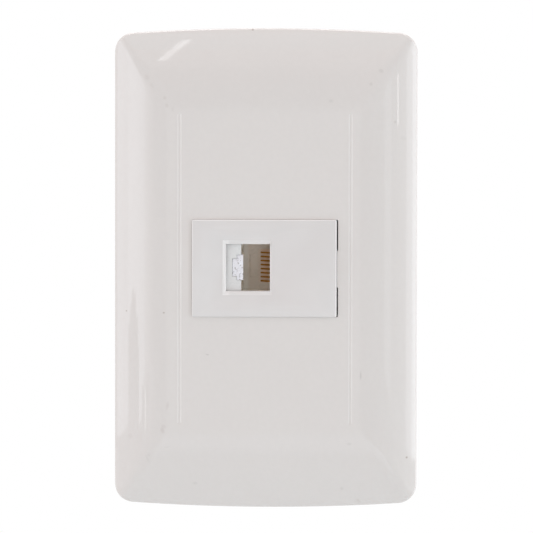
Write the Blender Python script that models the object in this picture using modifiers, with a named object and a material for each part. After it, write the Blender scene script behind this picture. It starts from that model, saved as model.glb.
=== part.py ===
"""Telephone wall socket: a pillow-shaped cover plate, the frame that holds it to the wall, and a module
with one eight-contact modular jack on its side, a circuit board and two rows of terminals.

X runs right and Z up as seen from the front, which faces -Y. The wall's surface is the plane y = 0, and
the origin is the middle of the plate on it. All lengths are in metres.
"""

import math

import bmesh
import bpy
from mathutils import Matrix, Vector

MM = 0.001

# Clearances between neighbours
SEAT_GAP = 0.3 * MM
CLOSE_GAP = 0.075 * MM

# Plate outline, and the section of the cover that it is cut from
PLATE_WIDTH = 75.7 * MM
PLATE_HEIGHT = 120.0 * MM
CORNER_RADIUS = 4.9 * MM
BOW_RADIUS = 480.0 * MM
COVER_WALL = 2.0 * MM
COVER_ROOM = 1.4 * MM
FLANGE_DROP = 6.0 * MM
SIDE_FLANGE = 14.85 * MM
END_FLANGE = 21.5 * MM
RIM_ROUND = 0.5 * MM

# Cover details
WINDOW_SIDE_PLAY = 0.8 * MM
WINDOW_END_PLAY = 0.4 * MM
COLLAR_WALL = 1.2 * MM
PAD_HEIGHT = 9.1 * MM
PAD_REACH = 0.45 * MM
GROOVE_INSET = 1.7 * MM
GROOVE_WIDTH = 0.8 * MM
GROOVE_DEPTH = 0.35 * MM
STIFFENER_WALL = 1.0 * MM
STIFFENER_DEPTH = 1.8 * MM
STIFFENER_INSET = 2.5 * MM

# Mounting frame
FRAME_INSET = 7.85 * MM
FRAME_END_INSET = 6.5 * MM
FRAME_CORNER = 4.0 * MM
FRAME_THICKNESS = 2.4 * MM
BAY_PLAY = 0.7 * MM
BAY_WALL = 1.6 * MM
BAY_FRONT_RISE = 2.2 * MM
BAY_SLEEVE = 6.0 * MM
FRAME_RIB_WALL = 1.2 * MM
FRAME_RIB_X = 8.0 * MM
POCKET_DEPTH = 1.2 * MM
POCKET_MARGIN = 2.6 * MM
POCKET_ROWS = 2
POCKET_COLUMNS = 2

# Snap hooks of the cover on the frame's long edges
HOOK_Z = 30.0 * MM
HOOK_WIDTH = 5.0 * MM
HOOK_WALL = 1.2 * MM
HOOK_BARB = 1.0 * MM
HOOK_BARB_DEPTH = 0.8 * MM
HOOK_TIP = 0.2 * MM
LEDGE_THICKNESS = 1.0 * MM
LEDGE_RECESS = 1.5 * MM

# Mounting screws, which stand 83.5 mm apart, and their slots
SCREW_INSET = 18.25 * MM
SCREW_DIAMETER = 4.0 * MM
SCREW_LENGTH = 25.0 * MM
SCREW_POINT = 1.0 * MM
SCREW_POINT_DIAMETER = 2.0 * MM
HEAD_DIAMETER = 8.0 * MM
HEAD_HEIGHT = 2.6 * MM
HEAD_RIM = 1.0 * MM
CROSS_SPAN = 4.4 * MM
CROSS_WIDTH = 1.0 * MM
CROSS_DEPTH = 1.6 * MM
SLOT_PLAY = 0.5 * MM
SLOT_LENGTH = 8.0 * MM
SLOT_PAD_MARGIN = 3.0 * MM
SLOT_PAD_RISE = 0.6 * MM

# Module housing
MODULE_SHIFT = -0.15 * MM
MODULE_RISE = 0.15 * MM
MODULE_WIDTH = 36.0 * MM
MODULE_HEIGHT = 24.2 * MM
MODULE_CORNER = 0.3 * MM
MODULE_PROUD = 0.7 * MM
MODULE_EDGE = 0.15 * MM
MODULE_FRONT_WALL = 1.8 * MM
MODULE_WALL = 1.5 * MM
MODULE_PAST_BOARD = 1.8 * MM
RAIL_WALL = 1.2 * MM
RAIL_INSET = 1.5 * MM
LATCH_Y = 2.7 * MM
LATCH_DEPTH = 1.6 * MM
LATCH_WIDTH = 5.0 * MM
LATCH_ENTRY = 0.35 * MM
LATCH_TIP = 0.4 * MM
TONGUE_SLIT = 0.8 * MM
TONGUE_LENGTH = 10.0 * MM

# Plug opening in the module's face, with unequal bevels left and right
OPENING_X = -4.05 * MM
JACK_RISE = 0.15 * MM
OPENING_WIDTH = 10.9 * MM
OPENING_PLAY = 0.03 * MM
BEVEL_LEFT = 0.9 * MM
BEVEL_RIGHT = 0.5 * MM
BEVEL_ENDS = 1.03 * MM
BEVEL_DEPTH = 0.9 * MM

# Jack shell, measured across from the middle of the plug opening
JACK_WALL = 0.9 * MM
JACK_LATCH_WALL = 1.43 * MM
JACK_END_WALL = 1.75 * MM
JACK_BACK_WALL = 2.1 * MM
CAVITY_LEFT = -1.77 * MM
CAVITY_WIDTH = 7.37 * MM
CAVITY_HEIGHT = 11.7 * MM
CAVITY_DEPTH = 13.2 * MM
RELIEF_LEFT = -0.1 * MM
RELIEF_WIDTH = 2.3 * MM
RELIEF_HEIGHT = 5.8 * MM
RELIEF_DEPTH = 0.4 * MM
NOTCH_WIDE_REACH = 1.12 * MM
NOTCH_WIDE_HEIGHT = 6.34 * MM
NOTCH_DEEP_REACH = 2.24 * MM
NOTCH_DEEP_HEIGHT = 4.48 * MM
NOTCH_LIP = 1.2 * MM
INSERT_WALL_REACH = 3.1 * MM
INSERT_HEIGHT = 7.2 * MM
INSERT_DEPTH = 5.4 * MM
INSERT_NOSE = 0.49 * MM
CONTACT_LIP = 1.0 * MM
PEG_DIAMETER = 1.8 * MM
PEG_X = -4.3 * MM
PEG_Z = 5.5 * MM
PEG_ENTRY = 0.9 * MM

# Contact wires and the carrier that they lie in
CONTACT_COUNT = 8
CONTACT_PITCH = 1.016 * MM
WIRE_DIAMETER = 0.45 * MM
WIRE_BEND_RADIUS = 0.75 * MM
WIRE_LEAN = math.radians(32.0)
WIRE_REACH = 2.6 * MM
WIRE_ROOM = 1.3 * MM
WIRE_BEND_ROOM = 1.7 * MM
WIRE_TAIL = 1.0 * MM
CARRIER_THICKNESS = 1.4 * MM
CARRIER_MARGIN = 0.9 * MM

# Circuit board and terminals
BOARD_STANDOFF = 1.2 * MM
BOARD_THICKNESS = 1.6 * MM
TERMINAL_COUNT = 4
TERMINAL_PITCH = 4.4 * MM
BLOCK_MARGIN = 0.994 * MM
BLOCK_DEPTH = 9.0 * MM
BLOCK_FLOOR = 1.5 * MM
WIRE_SLOT_WIDTH = 0.9 * MM
WIRE_SLOT_DEPTH = 5.0 * MM
BLADE_WIDTH = 3.0 * MM
BLADE_THICKNESS = 0.5 * MM
BLADE_RECESS = 1.2 * MM
FORK_SLIT = 0.35 * MM
FORK_DEPTH = 3.7 * MM
FORK_MOUTH = 1.0 * MM
PIN_WIDTH = 0.6 * MM
PIN_PAST_BOARD = 0.5 * MM
HOLE_PLAY = 0.15 * MM
CAP_WALL = 1.0 * MM
CAP_SKIRT = 3.8 * MM
REAR_PLATE = 1.6 * MM
POST_WIDTH = 2.5 * MM
POST_HEIGHT = 4.0 * MM

# Steps of the rounded stretches
BOW_STEPS = 5
CORNER_STEPS = 5
FLANGE_STEPS = 9
TURN_STEPS = 24
BEND_STEPS = 6
SMALL_ROUND_STEPS = 3

# How far a cutter runs past what it cuts, and how far a joined shape is let into its neighbour
PAST = 1.0 * MM
LET_IN = 0.3 * MM

# Points nearer than this are one point, and an edge turning by more than an angle is sharp or rounded
MERGE_DISTANCE = 0.01 * MM
SHARP_ANGLE = math.radians(30.0)
RIM_ANGLE = math.radians(34.0)

# Sizes and places that follow from the others
COVER_DEPTH = COVER_WALL + COVER_ROOM + HEAD_HEIGHT + SEAT_GAP + SLOT_PAD_RISE + FRAME_THICKNESS
PLATE_FRONT = -COVER_DEPTH
FRAME_FRONT = -FRAME_THICKNESS
FRAME_HALF = PLATE_WIDTH / 2 - FRAME_INSET
SCREW_Z = PLATE_HEIGHT / 2 - SCREW_INSET
WINDOW_WIDTH = MODULE_WIDTH + WINDOW_SIDE_PLAY
WINDOW_HEIGHT = MODULE_HEIGHT + WINDOW_END_PLAY
BAY_HEIGHT = MODULE_HEIGHT + BAY_PLAY
BAY_FRONT = FRAME_FRONT - BAY_FRONT_RISE

MODULE_FRONT = PLATE_FRONT - MODULE_PROUD
MODULE_INSIDE = MODULE_FRONT + MODULE_FRONT_WALL
INNER_HALF_WIDTH = MODULE_WIDTH / 2 - MODULE_WALL
INNER_HALF_HEIGHT = MODULE_HEIGHT / 2 - MODULE_WALL
OPENING_HEIGHT = CAVITY_HEIGHT + OPENING_PLAY

CAVITY_RIGHT = CAVITY_LEFT + CAVITY_WIDTH
CARRIER_LEFT = CAVITY_RIGHT + WIRE_ROOM
CARRIER_RIGHT = CARRIER_LEFT + CARRIER_THICKNESS
JACK_LEFT = CAVITY_LEFT - INSERT_WALL_REACH - JACK_LATCH_WALL
JACK_RIGHT = CARRIER_RIGHT + SEAT_GAP + JACK_WALL
JACK_HEIGHT = CAVITY_HEIGHT + 2 * JACK_END_WALL
JACK_DEPTH = CAVITY_DEPTH + JACK_BACK_WALL
JACK_FRONT = MODULE_INSIDE + SEAT_GAP
JACK_BACK = JACK_FRONT + JACK_DEPTH

CARRIER_DEPTH = JACK_DEPTH - CONTACT_LIP - WIRE_BEND_ROOM
GROOVE_IN_CARRIER = WIRE_DIAMETER + CLOSE_GAP
WIRE_X = CARRIER_LEFT + WIRE_DIAMETER / 2
WIRE_TIP_X = CAVITY_RIGHT - WIRE_REACH
COMB_HEIGHT = (CONTACT_COUNT - 1) * CONTACT_PITCH + 2 * CARRIER_MARGIN

BOARD_FRONT = JACK_BACK + BOARD_STANDOFF
BOARD_BACK = BOARD_FRONT + BOARD_THICKNESS
MODULE_BACK = BOARD_BACK + MODULE_PAST_BOARD
BLOCK_FRONT = BOARD_BACK + SEAT_GAP
BLOCK_BACK = BLOCK_FRONT + BLOCK_DEPTH
BLOCK_WIDTH = TERMINAL_COUNT * TERMINAL_PITCH
BLOCK_HEIGHT = INNER_HALF_HEIGHT - BLOCK_MARGIN - COMB_HEIGHT / 2
BLOCK_Z = (COMB_HEIGHT + BLOCK_HEIGHT) / 2
BLADE_LENGTH = BLOCK_DEPTH - BLOCK_FLOOR - SEAT_GAP - BLADE_RECESS


def new_collection(name):
    collection = bpy.data.collections.new(name)
    bpy.context.scene.collection.children.link(collection)
    return collection


def new_material(name, colour, roughness, metallic=0.0, transmission=0.0):
    material = bpy.data.materials.new(name)
    material.use_nodes = True
    shader = material.node_tree.nodes["Principled BSDF"]
    shader.inputs["Base Color"].default_value = (*colour, 1.0)
    shader.inputs["Roughness"].default_value = roughness
    shader.inputs["Metallic"].default_value = metallic
    shader.inputs["Transmission Weight"].default_value = transmission
    material.diffuse_color = (*colour, 1.0)
    return material


def new_empty(name, location=(0, 0, 0), parent=None):
    empty = bpy.data.objects.new(name, None)
    PARTS.objects.link(empty)
    empty.location = location
    empty.parent = parent
    return empty


def new_object(name, data, parent, material=None):
    """An object of the part where it has a material, or else a helper that joins or cuts one."""
    obj = bpy.data.objects.new(name, data)
    obj.parent = parent
    if material:
        PARTS.objects.link(obj)
        obj.data.materials.append(material)
    else:
        HELPERS.objects.link(obj)
        obj.hide_render = True
        obj.display_type = "WIRE"
    return obj


def side_name(side):
    return "left" if side < 0 else "right"


def end_name(end):
    return "lower" if end < 0 else "upper"


def smooth_rounds(mesh):
    mesh.shade_smooth()
    mesh.set_sharp_from_angle(angle=SHARP_ANGLE)


def block(name, low, high, parent, material=None):
    """A box between two corners."""
    shape = bmesh.new()
    bmesh.ops.create_cube(shape, size=1.0)
    low, high = Vector(low), Vector(high)
    bmesh.ops.scale(shape, verts=shape.verts, vec=high - low)
    mesh = bpy.data.meshes.new(name)
    shape.to_mesh(mesh)
    shape.free()
    obj = new_object(name, mesh, parent, material)
    obj.location = (low + high) / 2
    return obj


# An outline's own (u, v) become (x, z), (x, y) or (y, z) when it is extruded along Y, Z or X.
TURN_TO = {
    "Y": Matrix(((1, 0, 0), (0, 0, -1), (0, 1, 0))),
    "Z": Matrix(((1, 0, 0), (0, 1, 0), (0, 0, 1))),
    "X": Matrix(((0, 0, 1), (1, 0, 0), (0, 1, 0))),
}


def prism(name, outline, along, low, high, parent, material=None):
    """A flat outline extruded from low to high along an axis."""
    curve = bpy.data.curves.new(name, "CURVE")
    curve.dimensions = "2D"
    curve.fill_mode = "BOTH"
    curve.extrude = (high - low) / 2
    spline = curve.splines.new("POLY")
    spline.points.add(len(outline) - 1)
    for point, (u, v) in zip(spline.points, outline):
        point.co = (u, v, 0, 1)
    spline.use_cyclic_u = True
    guide = bpy.data.objects.new(name + "_outline", curve)
    HELPERS.objects.link(guide)
    middle = Vector((0, 0, 0))
    middle["XYZ".index(along)] = (low + high) / 2
    guide.matrix_world = Matrix.Translation(middle) @ TURN_TO[along].to_4x4()
    graph = bpy.context.evaluated_depsgraph_get()
    mesh = bpy.data.meshes.new_from_object(guide.evaluated_get(graph))
    weld(mesh)
    smooth_rounds(mesh)
    obj = new_object(name, mesh, parent, material)
    obj.matrix_basis = guide.matrix_world
    bpy.data.objects.remove(guide)
    return obj


def weld(mesh):
    """Joins the caps to the sides, and makes each cap one face."""
    shape = bmesh.new()
    shape.from_mesh(mesh)
    bmesh.ops.remove_doubles(shape, verts=shape.verts, dist=MERGE_DISTANCE)
    top = max(vert.co.z for vert in shape.verts)
    for level in (top, -top):
        cap = [f for f in shape.faces if all(abs(v.co.z - level) < MERGE_DISTANCE for v in f.verts)]
        bmesh.ops.dissolve_faces(shape, faces=cap)
    bmesh.ops.recalc_face_normals(shape, faces=shape.faces)
    shape.to_mesh(mesh)
    shape.free()


def cylinder(name, radius, low, high, parent, at=(0, 0), steps=TURN_STEPS):
    """A round bar along Y at an (x, z) place."""
    shape = bmesh.new()
    bmesh.ops.create_cone(
        shape, cap_ends=True, segments=steps, radius1=radius, radius2=radius, depth=high - low
    )
    mesh = bpy.data.meshes.new(name)
    shape.to_mesh(mesh)
    shape.free()
    smooth_rounds(mesh)
    obj = new_object(name, mesh, parent)
    obj.location = (at[0], (low + high) / 2, at[1])
    obj.rotation_euler = (math.radians(90), 0, 0)
    return obj


def combine(obj, operation, tool):
    modifier = obj.modifiers.new(f"{operation.lower()} {tool.name}", "BOOLEAN")
    modifier.operation = operation
    modifier.solver = "EXACT"
    modifier.object = tool


def join(obj, *tools):
    for tool in tools:
        combine(obj, "UNION", tool)


def cut(obj, *tools):
    for tool in tools:
        combine(obj, "DIFFERENCE", tool)


def keep_within(obj, *tools):
    for tool in tools:
        combine(obj, "INTERSECT", tool)


def arc(centre, radius, start, end, steps):
    """Points on an arc, angles in radians, both ends among them."""
    angles = [start + (end - start) * i / steps for i in range(steps + 1)]
    return [(centre[0] + radius * math.cos(a), centre[1] + radius * math.sin(a)) for a in angles]


def rectangle(width, height, centre=(0, 0)):
    u, v = centre
    return [
        (u - width / 2, v - height / 2),
        (u + width / 2, v - height / 2),
        (u + width / 2, v + height / 2),
        (u - width / 2, v + height / 2),
    ]


def rounded_rectangle(width, height, radius, steps=SMALL_ROUND_STEPS, centre=(0, 0)):
    points = []
    for quarter, (u, v) in enumerate(((1, 1), (-1, 1), (-1, -1), (1, -1))):
        corner = (
            centre[0] + u * (width / 2 - radius),
            centre[1] + v * (height / 2 - radius),
        )
        start = quarter * math.pi / 2
        points += arc(corner, radius, start, start + math.pi / 2, steps)
    return points


def obround(length, width, centre=(0, 0)):
    """A slot's outline, long along u."""
    u, v = centre
    reach = (length - width) / 2
    quarter = math.pi / 2
    steps = TURN_STEPS // 2
    return arc((u + reach, v), width / 2, -quarter, quarter, steps) + arc(
        (u - reach, v), width / 2, quarter, 3 * quarter, steps
    )


def plate_outline(inset=0.0):
    """The plate's outline in (x, z): straight sides, and ends bowed outwards to round corners."""
    bow_z = PLATE_HEIGHT / 2 - BOW_RADIUS
    corner_x = PLATE_WIDTH / 2 - CORNER_RADIUS
    corner_z = bow_z + math.sqrt((BOW_RADIUS - CORNER_RADIUS) ** 2 - corner_x**2)
    meeting = math.atan2(corner_z - bow_z, corner_x)
    bow = arc((0, bow_z), BOW_RADIUS - inset, math.pi / 2, meeting, BOW_STEPS)
    corner = arc((corner_x, corner_z), CORNER_RADIUS - inset, meeting, 0, CORNER_STEPS)
    quarter = bow + corner[1:]
    right = quarter + [(x, -z) for x, z in reversed(quarter)]
    left = [(-x, z) for x, z in reversed(right)]
    return right + left[1:-1]


def flange_radius(flange):
    """The radius of an arc that leaves the flat front and has dropped by FLANGE_DROP at the rim."""
    return (flange**2 + FLANGE_DROP**2) / (2 * FLANGE_DROP)


def surface_y(distance, half, flange, inset=0.0):
    """How far forward the cover's skin lies at a distance from the middle line."""
    radius = flange_radius(flange)
    past = max(0.0, abs(distance) - (half - flange))
    return PLATE_FRONT + radius - math.sqrt((radius - inset) ** 2 - past**2)


def cover_section(half, flange, inset=0.0):
    """Half the section in (distance, y) from the rim to the middle, with its mirror image."""
    outer = half + PAST
    distances = [outer - (flange + PAST) * i / FLANGE_STEPS for i in range(FLANGE_STEPS + 1)]
    right = [(outer, PAST)] + [(d, surface_y(d, half, flange, inset)) for d in distances]
    return right + [(-d, y) for d, y in reversed(right)]


def cover_body(name, inset, back, parent, material=None):
    """The pillow shape: the plate's outline kept within the side and the end sections."""
    outline = plate_outline(inset)
    body = prism(name, outline, "Y", PLATE_FRONT - PAST, back, parent, material)
    side = cover_section(PLATE_WIDTH / 2, SIDE_FLANGE, inset)
    end = [(y, z) for z, y in cover_section(PLATE_HEIGHT / 2, END_FLANGE, inset)]
    long_reach = PLATE_HEIGHT / 2 + 2 * PAST
    wide_reach = PLATE_WIDTH / 2 + 2 * PAST
    keep_within(
        body,
        prism(name + "_side_section", side, "Z", -long_reach, long_reach, parent),
        prism(name + "_end_section", end, "X", -wide_reach, wide_reach, parent),
    )
    return body


def make_front_cover(parent):
    cover = cover_body("front_cover", 0.0, 0.0, parent, COVER_PLASTIC)
    rim = cover.modifiers.new("rim round", "BEVEL")
    rim.limit_method = "ANGLE"
    rim.angle_limit = RIM_ANGLE
    rim.width = RIM_ROUND
    rim.segments = 2
    cut(cover, cover_body("cover_hollow", COVER_WALL, PAST, parent))

    inside = PLATE_FRONT + COVER_WALL
    collar_back = BAY_FRONT - SEAT_GAP
    collar = rectangle(WINDOW_WIDTH + 2 * COLLAR_WALL, WINDOW_HEIGHT + 2 * COLLAR_WALL)
    join(cover, prism("window_collar", collar, "Y", inside - LET_IN, collar_back, parent))
    for side in (-1, 1):
        x = side * (PLATE_WIDTH / 2 - SIDE_FLANGE + STIFFENER_INSET)
        reach = PLATE_HEIGHT / 2 - END_FLANGE
        join(
            cover,
            block(
                f"stiffener_{side_name(side)}",
                (x - STIFFENER_WALL / 2, inside - LET_IN, -reach),
                (x + STIFFENER_WALL / 2, inside + STIFFENER_DEPTH, reach),
                parent,
            ),
        )
        for end in (-1, 1):
            join(cover, make_hook(side, end, parent))

    window = prism("window_cut", window_outline(), "Y", PLATE_FRONT - PAST, PAST, parent)
    cut(cover, window, make_groove(-1, parent), make_groove(1, parent))
    return cover


def window_outline():
    """The window, less the pad at the middle of its right edge."""
    half_width, half_height = WINDOW_WIDTH / 2, WINDOW_HEIGHT / 2
    pad_x = half_width - PAD_REACH
    return [
        (-half_width, -half_height),
        (half_width, -half_height),
        (half_width, -PAD_HEIGHT / 2),
        (pad_x, -PAD_HEIGHT / 2),
        (pad_x, PAD_HEIGHT / 2),
        (half_width, PAD_HEIGHT / 2),
        (half_width, half_height),
        (-half_width, half_height),
    ]


def make_groove(side, parent):
    """A shallow V along the edge of the flat front."""
    x = side * (PLATE_WIDTH / 2 - SIDE_FLANGE - GROOVE_INSET)
    slope = GROOVE_DEPTH / (GROOVE_WIDTH / 2)
    top_half = GROOVE_WIDTH / 2 + PAST / slope
    outline = [
        (x - top_half, PLATE_FRONT - PAST),
        (x + top_half, PLATE_FRONT - PAST),
        (x, PLATE_FRONT + GROOVE_DEPTH),
    ]
    reach = PLATE_HEIGHT / 2 - END_FLANGE
    return prism(f"groove_{side_name(side)}", outline, "Z", -reach, reach, parent)


def make_hook(side, end, parent):
    """A stem beside the frame's edge, with a barb that reaches in behind the frame's ledge."""
    inner = FRAME_HALF + SEAT_GAP
    outer = inner + HOOK_WALL
    root = surface_y(inner, PLATE_WIDTH / 2, SIDE_FLANGE, COVER_WALL) - LET_IN
    barb_front = FRAME_FRONT + LEDGE_THICKNESS + SEAT_GAP
    barb_back = barb_front + HOOK_BARB_DEPTH
    outline = [
        (side * outer, root),
        (side * outer, barb_back),
        (side * inner, barb_back),
        (side * (inner - HOOK_BARB), barb_front + HOOK_TIP),
        (side * (inner - HOOK_BARB), barb_front),
        (side * inner, barb_front),
        (side * inner, root),
    ]
    name = f"hook_{side_name(side)}_{end_name(end)}"
    low = end * HOOK_Z - HOOK_WIDTH / 2
    return prism(name, outline, "Z", low, low + HOOK_WIDTH, parent)


def make_mounting_frame(parent):
    height = PLATE_HEIGHT - 2 * FRAME_END_INSET
    outline = rounded_rectangle(2 * FRAME_HALF, height, FRAME_CORNER, CORNER_STEPS)
    frame = prism("mounting_frame", outline, "Y", FRAME_FRONT, 0.0, parent, FRAME_PLASTIC)

    sleeve = rectangle(WINDOW_WIDTH + 2 * BAY_WALL, BAY_HEIGHT + 2 * BAY_WALL)
    join(frame, prism("bay_sleeve", sleeve, "Y", BAY_FRONT, BAY_SLEEVE, parent))
    slot_width = SCREW_DIAMETER + SLOT_PLAY
    margin = 2 * SLOT_PAD_MARGIN
    for end in (-1, 1):
        pad = obround(SLOT_LENGTH + margin, slot_width + margin, (0, end * SCREW_Z))
        front = FRAME_FRONT - SLOT_PAD_RISE
        back = FRAME_FRONT + LET_IN
        join(frame, prism(f"slot_pad_{end_name(end)}", pad, "Y", front, back, parent))
        for x in (-FRAME_RIB_X, FRAME_RIB_X):
            zs = sorted((end * (BAY_HEIGHT + BAY_WALL) / 2, end * SCREW_Z))
            low = (x - FRAME_RIB_WALL / 2, front, zs[0])
            high = (x + FRAME_RIB_WALL / 2, back, zs[1])
            join(frame, block(f"frame_rib_{end_name(end)}", low, high, parent))

    bay = rectangle(WINDOW_WIDTH, BAY_HEIGHT)
    cut(frame, prism("bay_cut", bay, "Y", BAY_FRONT - PAST, BAY_SLEEVE + PAST, parent))
    latch_reach = WINDOW_WIDTH / 2 + BAY_WALL + PAST
    latch_half = LATCH_WIDTH / 2 + SEAT_GAP
    latch_depth = LATCH_DEPTH / 2 + SEAT_GAP
    cut(
        frame,
        block(
            "latch_windows",
            (-latch_reach, LATCH_Y - latch_depth, -latch_half),
            (latch_reach, LATCH_Y + latch_depth, latch_half),
            parent,
        ),
    )
    for end in (-1, 1):
        slot = obround(SLOT_LENGTH, slot_width, (0, end * SCREW_Z))
        cut(frame, prism(f"slot_{end_name(end)}", slot, "Y", FRAME_FRONT - 2 * PAST, PAST, parent))
        for edge in (-1, 1):
            xs = sorted((edge * (FRAME_HALF - LEDGE_RECESS), edge * (FRAME_HALF + PAST)))
            half = HOOK_WIDTH / 2 + SEAT_GAP
            low = (xs[0], FRAME_FRONT + LEDGE_THICKNESS, end * HOOK_Z - half)
            high = (xs[1], PAST, end * HOOK_Z + half)
            cut(frame, block(f"ledge_cut_{end_name(end)}", low, high, parent))
            cut_back_pockets(frame, edge, end, parent)
    return frame


def cut_back_pockets(frame, edge, end, parent):
    """Shallow pockets in one quarter of the frame's back, with ribs left between them."""
    rib = FRAME_RIB_WALL
    inner_x = SLOT_LENGTH / 2 + SLOT_PAD_MARGIN + POCKET_MARGIN
    outer_x = FRAME_HALF - LEDGE_RECESS - POCKET_MARGIN
    inner_z = BAY_HEIGHT / 2 + BAY_WALL + POCKET_MARGIN
    outer_z = PLATE_HEIGHT / 2 - FRAME_END_INSET - POCKET_MARGIN
    width = (outer_x - inner_x + rib) / POCKET_COLUMNS
    height = (outer_z - inner_z + rib) / POCKET_ROWS
    for column in range(POCKET_COLUMNS):
        for row in range(POCKET_ROWS):
            near_x = inner_x + column * width
            near_z = inner_z + row * height
            xs = sorted((edge * near_x, edge * (near_x + width - rib)))
            zs = sorted((end * near_z, end * (near_z + height - rib)))
            low, high = (xs[0], -POCKET_DEPTH, zs[0]), (xs[1], PAST, zs[1])
            cut(frame, block("back_pocket", low, high, parent))


def make_mounting_screw(end, parent):
    """A pan head screw, turned about its own Z with the head upwards, then laid along the wall's normal."""
    name = f"mounting_screw_{end_name(end)}"
    radius = SCREW_DIAMETER / 2
    head = HEAD_DIAMETER / 2
    dome = HEAD_HEIGHT - HEAD_RIM
    dome_radius = (head**2 + dome**2) / (2 * dome)
    sweep = math.asin(head / dome_radius)
    upright = math.pi / 2
    top = arc((0, HEAD_HEIGHT - dome_radius), dome_radius, upright, upright - sweep, CORNER_STEPS)
    profile = top + [
        (head, 0),
        (radius, 0),
        (radius, SCREW_POINT - SCREW_LENGTH),
        (SCREW_POINT_DIAMETER / 2, -SCREW_LENGTH),
        (0, -SCREW_LENGTH),
    ]
    mesh = bpy.data.meshes.new(name)
    edges = [(i, i + 1) for i in range(len(profile) - 1)]
    mesh.from_pydata([(r, 0, z) for r, z in profile], edges, [])
    steel = new_material(name + " steel", (0.62, 0.62, 0.62), 0.3, 1.0)
    screw = new_object(name, mesh, parent, steel)
    turned = screw.modifiers.new("turned", "SCREW")
    turned.steps = turned.render_steps = TURN_STEPS
    turned.use_merge_vertices = True
    turned.merge_threshold = MERGE_DISTANCE
    seat = FRAME_FRONT - SLOT_PAD_RISE - SEAT_GAP
    screw.location = (0, seat, end * SCREW_Z)
    screw.rotation_euler = (math.radians(90), 0, 0)

    half, width = CROSS_SPAN / 2, CROSS_WIDTH / 2
    arm = [(half, -width), (half, width), (width, width)]
    cross = []
    for _ in range(4):
        cross += arm
        arm = [(-v, u) for u, v in arm]
    floor = HEAD_HEIGHT - CROSS_DEPTH
    recess = prism(f"cross_{name}", cross, "Z", floor, HEAD_HEIGHT + PAST, screw)
    cut(screw, recess)
    return screw


def make_module_housing(parent):
    outline = rounded_rectangle(MODULE_WIDTH, MODULE_HEIGHT, MODULE_CORNER)
    name = "module_housing"
    housing = prism(name, outline, "Y", MODULE_FRONT, MODULE_BACK, parent, MODULE_PLASTIC)
    round_front_edge(housing.data)

    hollow = rectangle(2 * INNER_HALF_WIDTH, 2 * INNER_HALF_HEIGHT)
    cut(
        housing,
        prism("housing_hollow", hollow, "Y", MODULE_INSIDE, MODULE_BACK + PAST, parent),
        make_opening_cutter(parent),
    )
    rail_low = JACK_HEIGHT / 2 + SEAT_GAP
    rail_high = INNER_HALF_HEIGHT + LET_IN
    for side in (-1, 1):
        for x in (OPENING_X + JACK_LEFT + RAIL_INSET, OPENING_X + JACK_RIGHT - RAIL_INSET):
            zs = sorted((JACK_RISE + side * rail_low, side * rail_high))
            low = (x - RAIL_WALL / 2, MODULE_INSIDE - LET_IN, zs[0])
            high = (x + RAIL_WALL / 2, BOARD_FRONT - SEAT_GAP, zs[1])
            join(housing, block("jack_rail", low, high, parent))
    ledge_x = (
        (-INNER_HALF_WIDTH - LET_IN, -INNER_HALF_WIDTH + RAIL_WALL),
        (INNER_HALF_WIDTH - RAIL_WALL, INNER_HALF_WIDTH + LET_IN),
    )
    for low_x, high_x in ledge_x:
        low = (low_x, MODULE_INSIDE - LET_IN, -RAIL_WALL / 2)
        high = (high_x, BOARD_FRONT - SEAT_GAP, RAIL_WALL / 2)
        join(housing, block("board_ledge", low, high, parent))
    for side in (-1, 1):
        join(housing, make_latch(side, parent))
        for z in (-1, 1):
            middle = z * (LATCH_WIDTH / 2 + TONGUE_SLIT / 2)
            xs = sorted((side * (INNER_HALF_WIDTH - LET_IN), side * (MODULE_WIDTH / 2 + PAST)))
            low = (xs[0], MODULE_BACK - TONGUE_LENGTH, middle - TONGUE_SLIT / 2)
            high = (xs[1], MODULE_BACK + PAST, middle + TONGUE_SLIT / 2)
            cut(housing, block("tongue_slit", low, high, parent))
    return housing


def round_front_edge(mesh):
    """Rounds the edge round the face, which is the prism's top in its own frame."""
    shape = bmesh.new()
    shape.from_mesh(mesh)
    top = max(v.co.z for v in shape.verts)
    rim = [e for e in shape.edges if all(v.co.z > top - MERGE_DISTANCE for v in e.verts)]
    bmesh.ops.bevel(shape, geom=rim, offset=MODULE_EDGE, segments=2, profile=0.5, affect="EDGES")
    shape.to_mesh(mesh)
    shape.free()
    smooth_rounds(mesh)


def make_opening_cutter(parent):
    """The plug opening, widened by the bevel at the face."""
    half_width, half_height = OPENING_WIDTH / 2, OPENING_HEIGHT / 2
    depth = MODULE_FRONT_WALL + 2 * PAST
    cutter = block(
        "opening_cut",
        (OPENING_X - half_width, MODULE_FRONT - PAST, JACK_RISE - half_height),
        (OPENING_X + half_width, MODULE_INSIDE + PAST, JACK_RISE + half_height),
        parent,
    )
    # The bevel's slope goes on past the face, so that the cut is clean there.
    reach = (BEVEL_DEPTH + PAST) / BEVEL_DEPTH
    shape = bmesh.new()
    shape.from_mesh(cutter.data)
    bevel_end = -depth / 2 + PAST + BEVEL_DEPTH
    everything = shape.verts[:] + shape.edges[:] + shape.faces[:]
    bmesh.ops.bisect_plane(shape, geom=everything, plane_co=(0, bevel_end, 0), plane_no=(0, 1, 0))
    for vert in shape.verts:
        if vert.co.y < bevel_end - MERGE_DISTANCE:
            vert.co.x += BEVEL_RIGHT * reach if vert.co.x > 0 else -BEVEL_LEFT * reach
            vert.co.z += math.copysign(BEVEL_ENDS * reach, vert.co.z)
    shape.to_mesh(cutter.data)
    shape.free()
    return cutter


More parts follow.
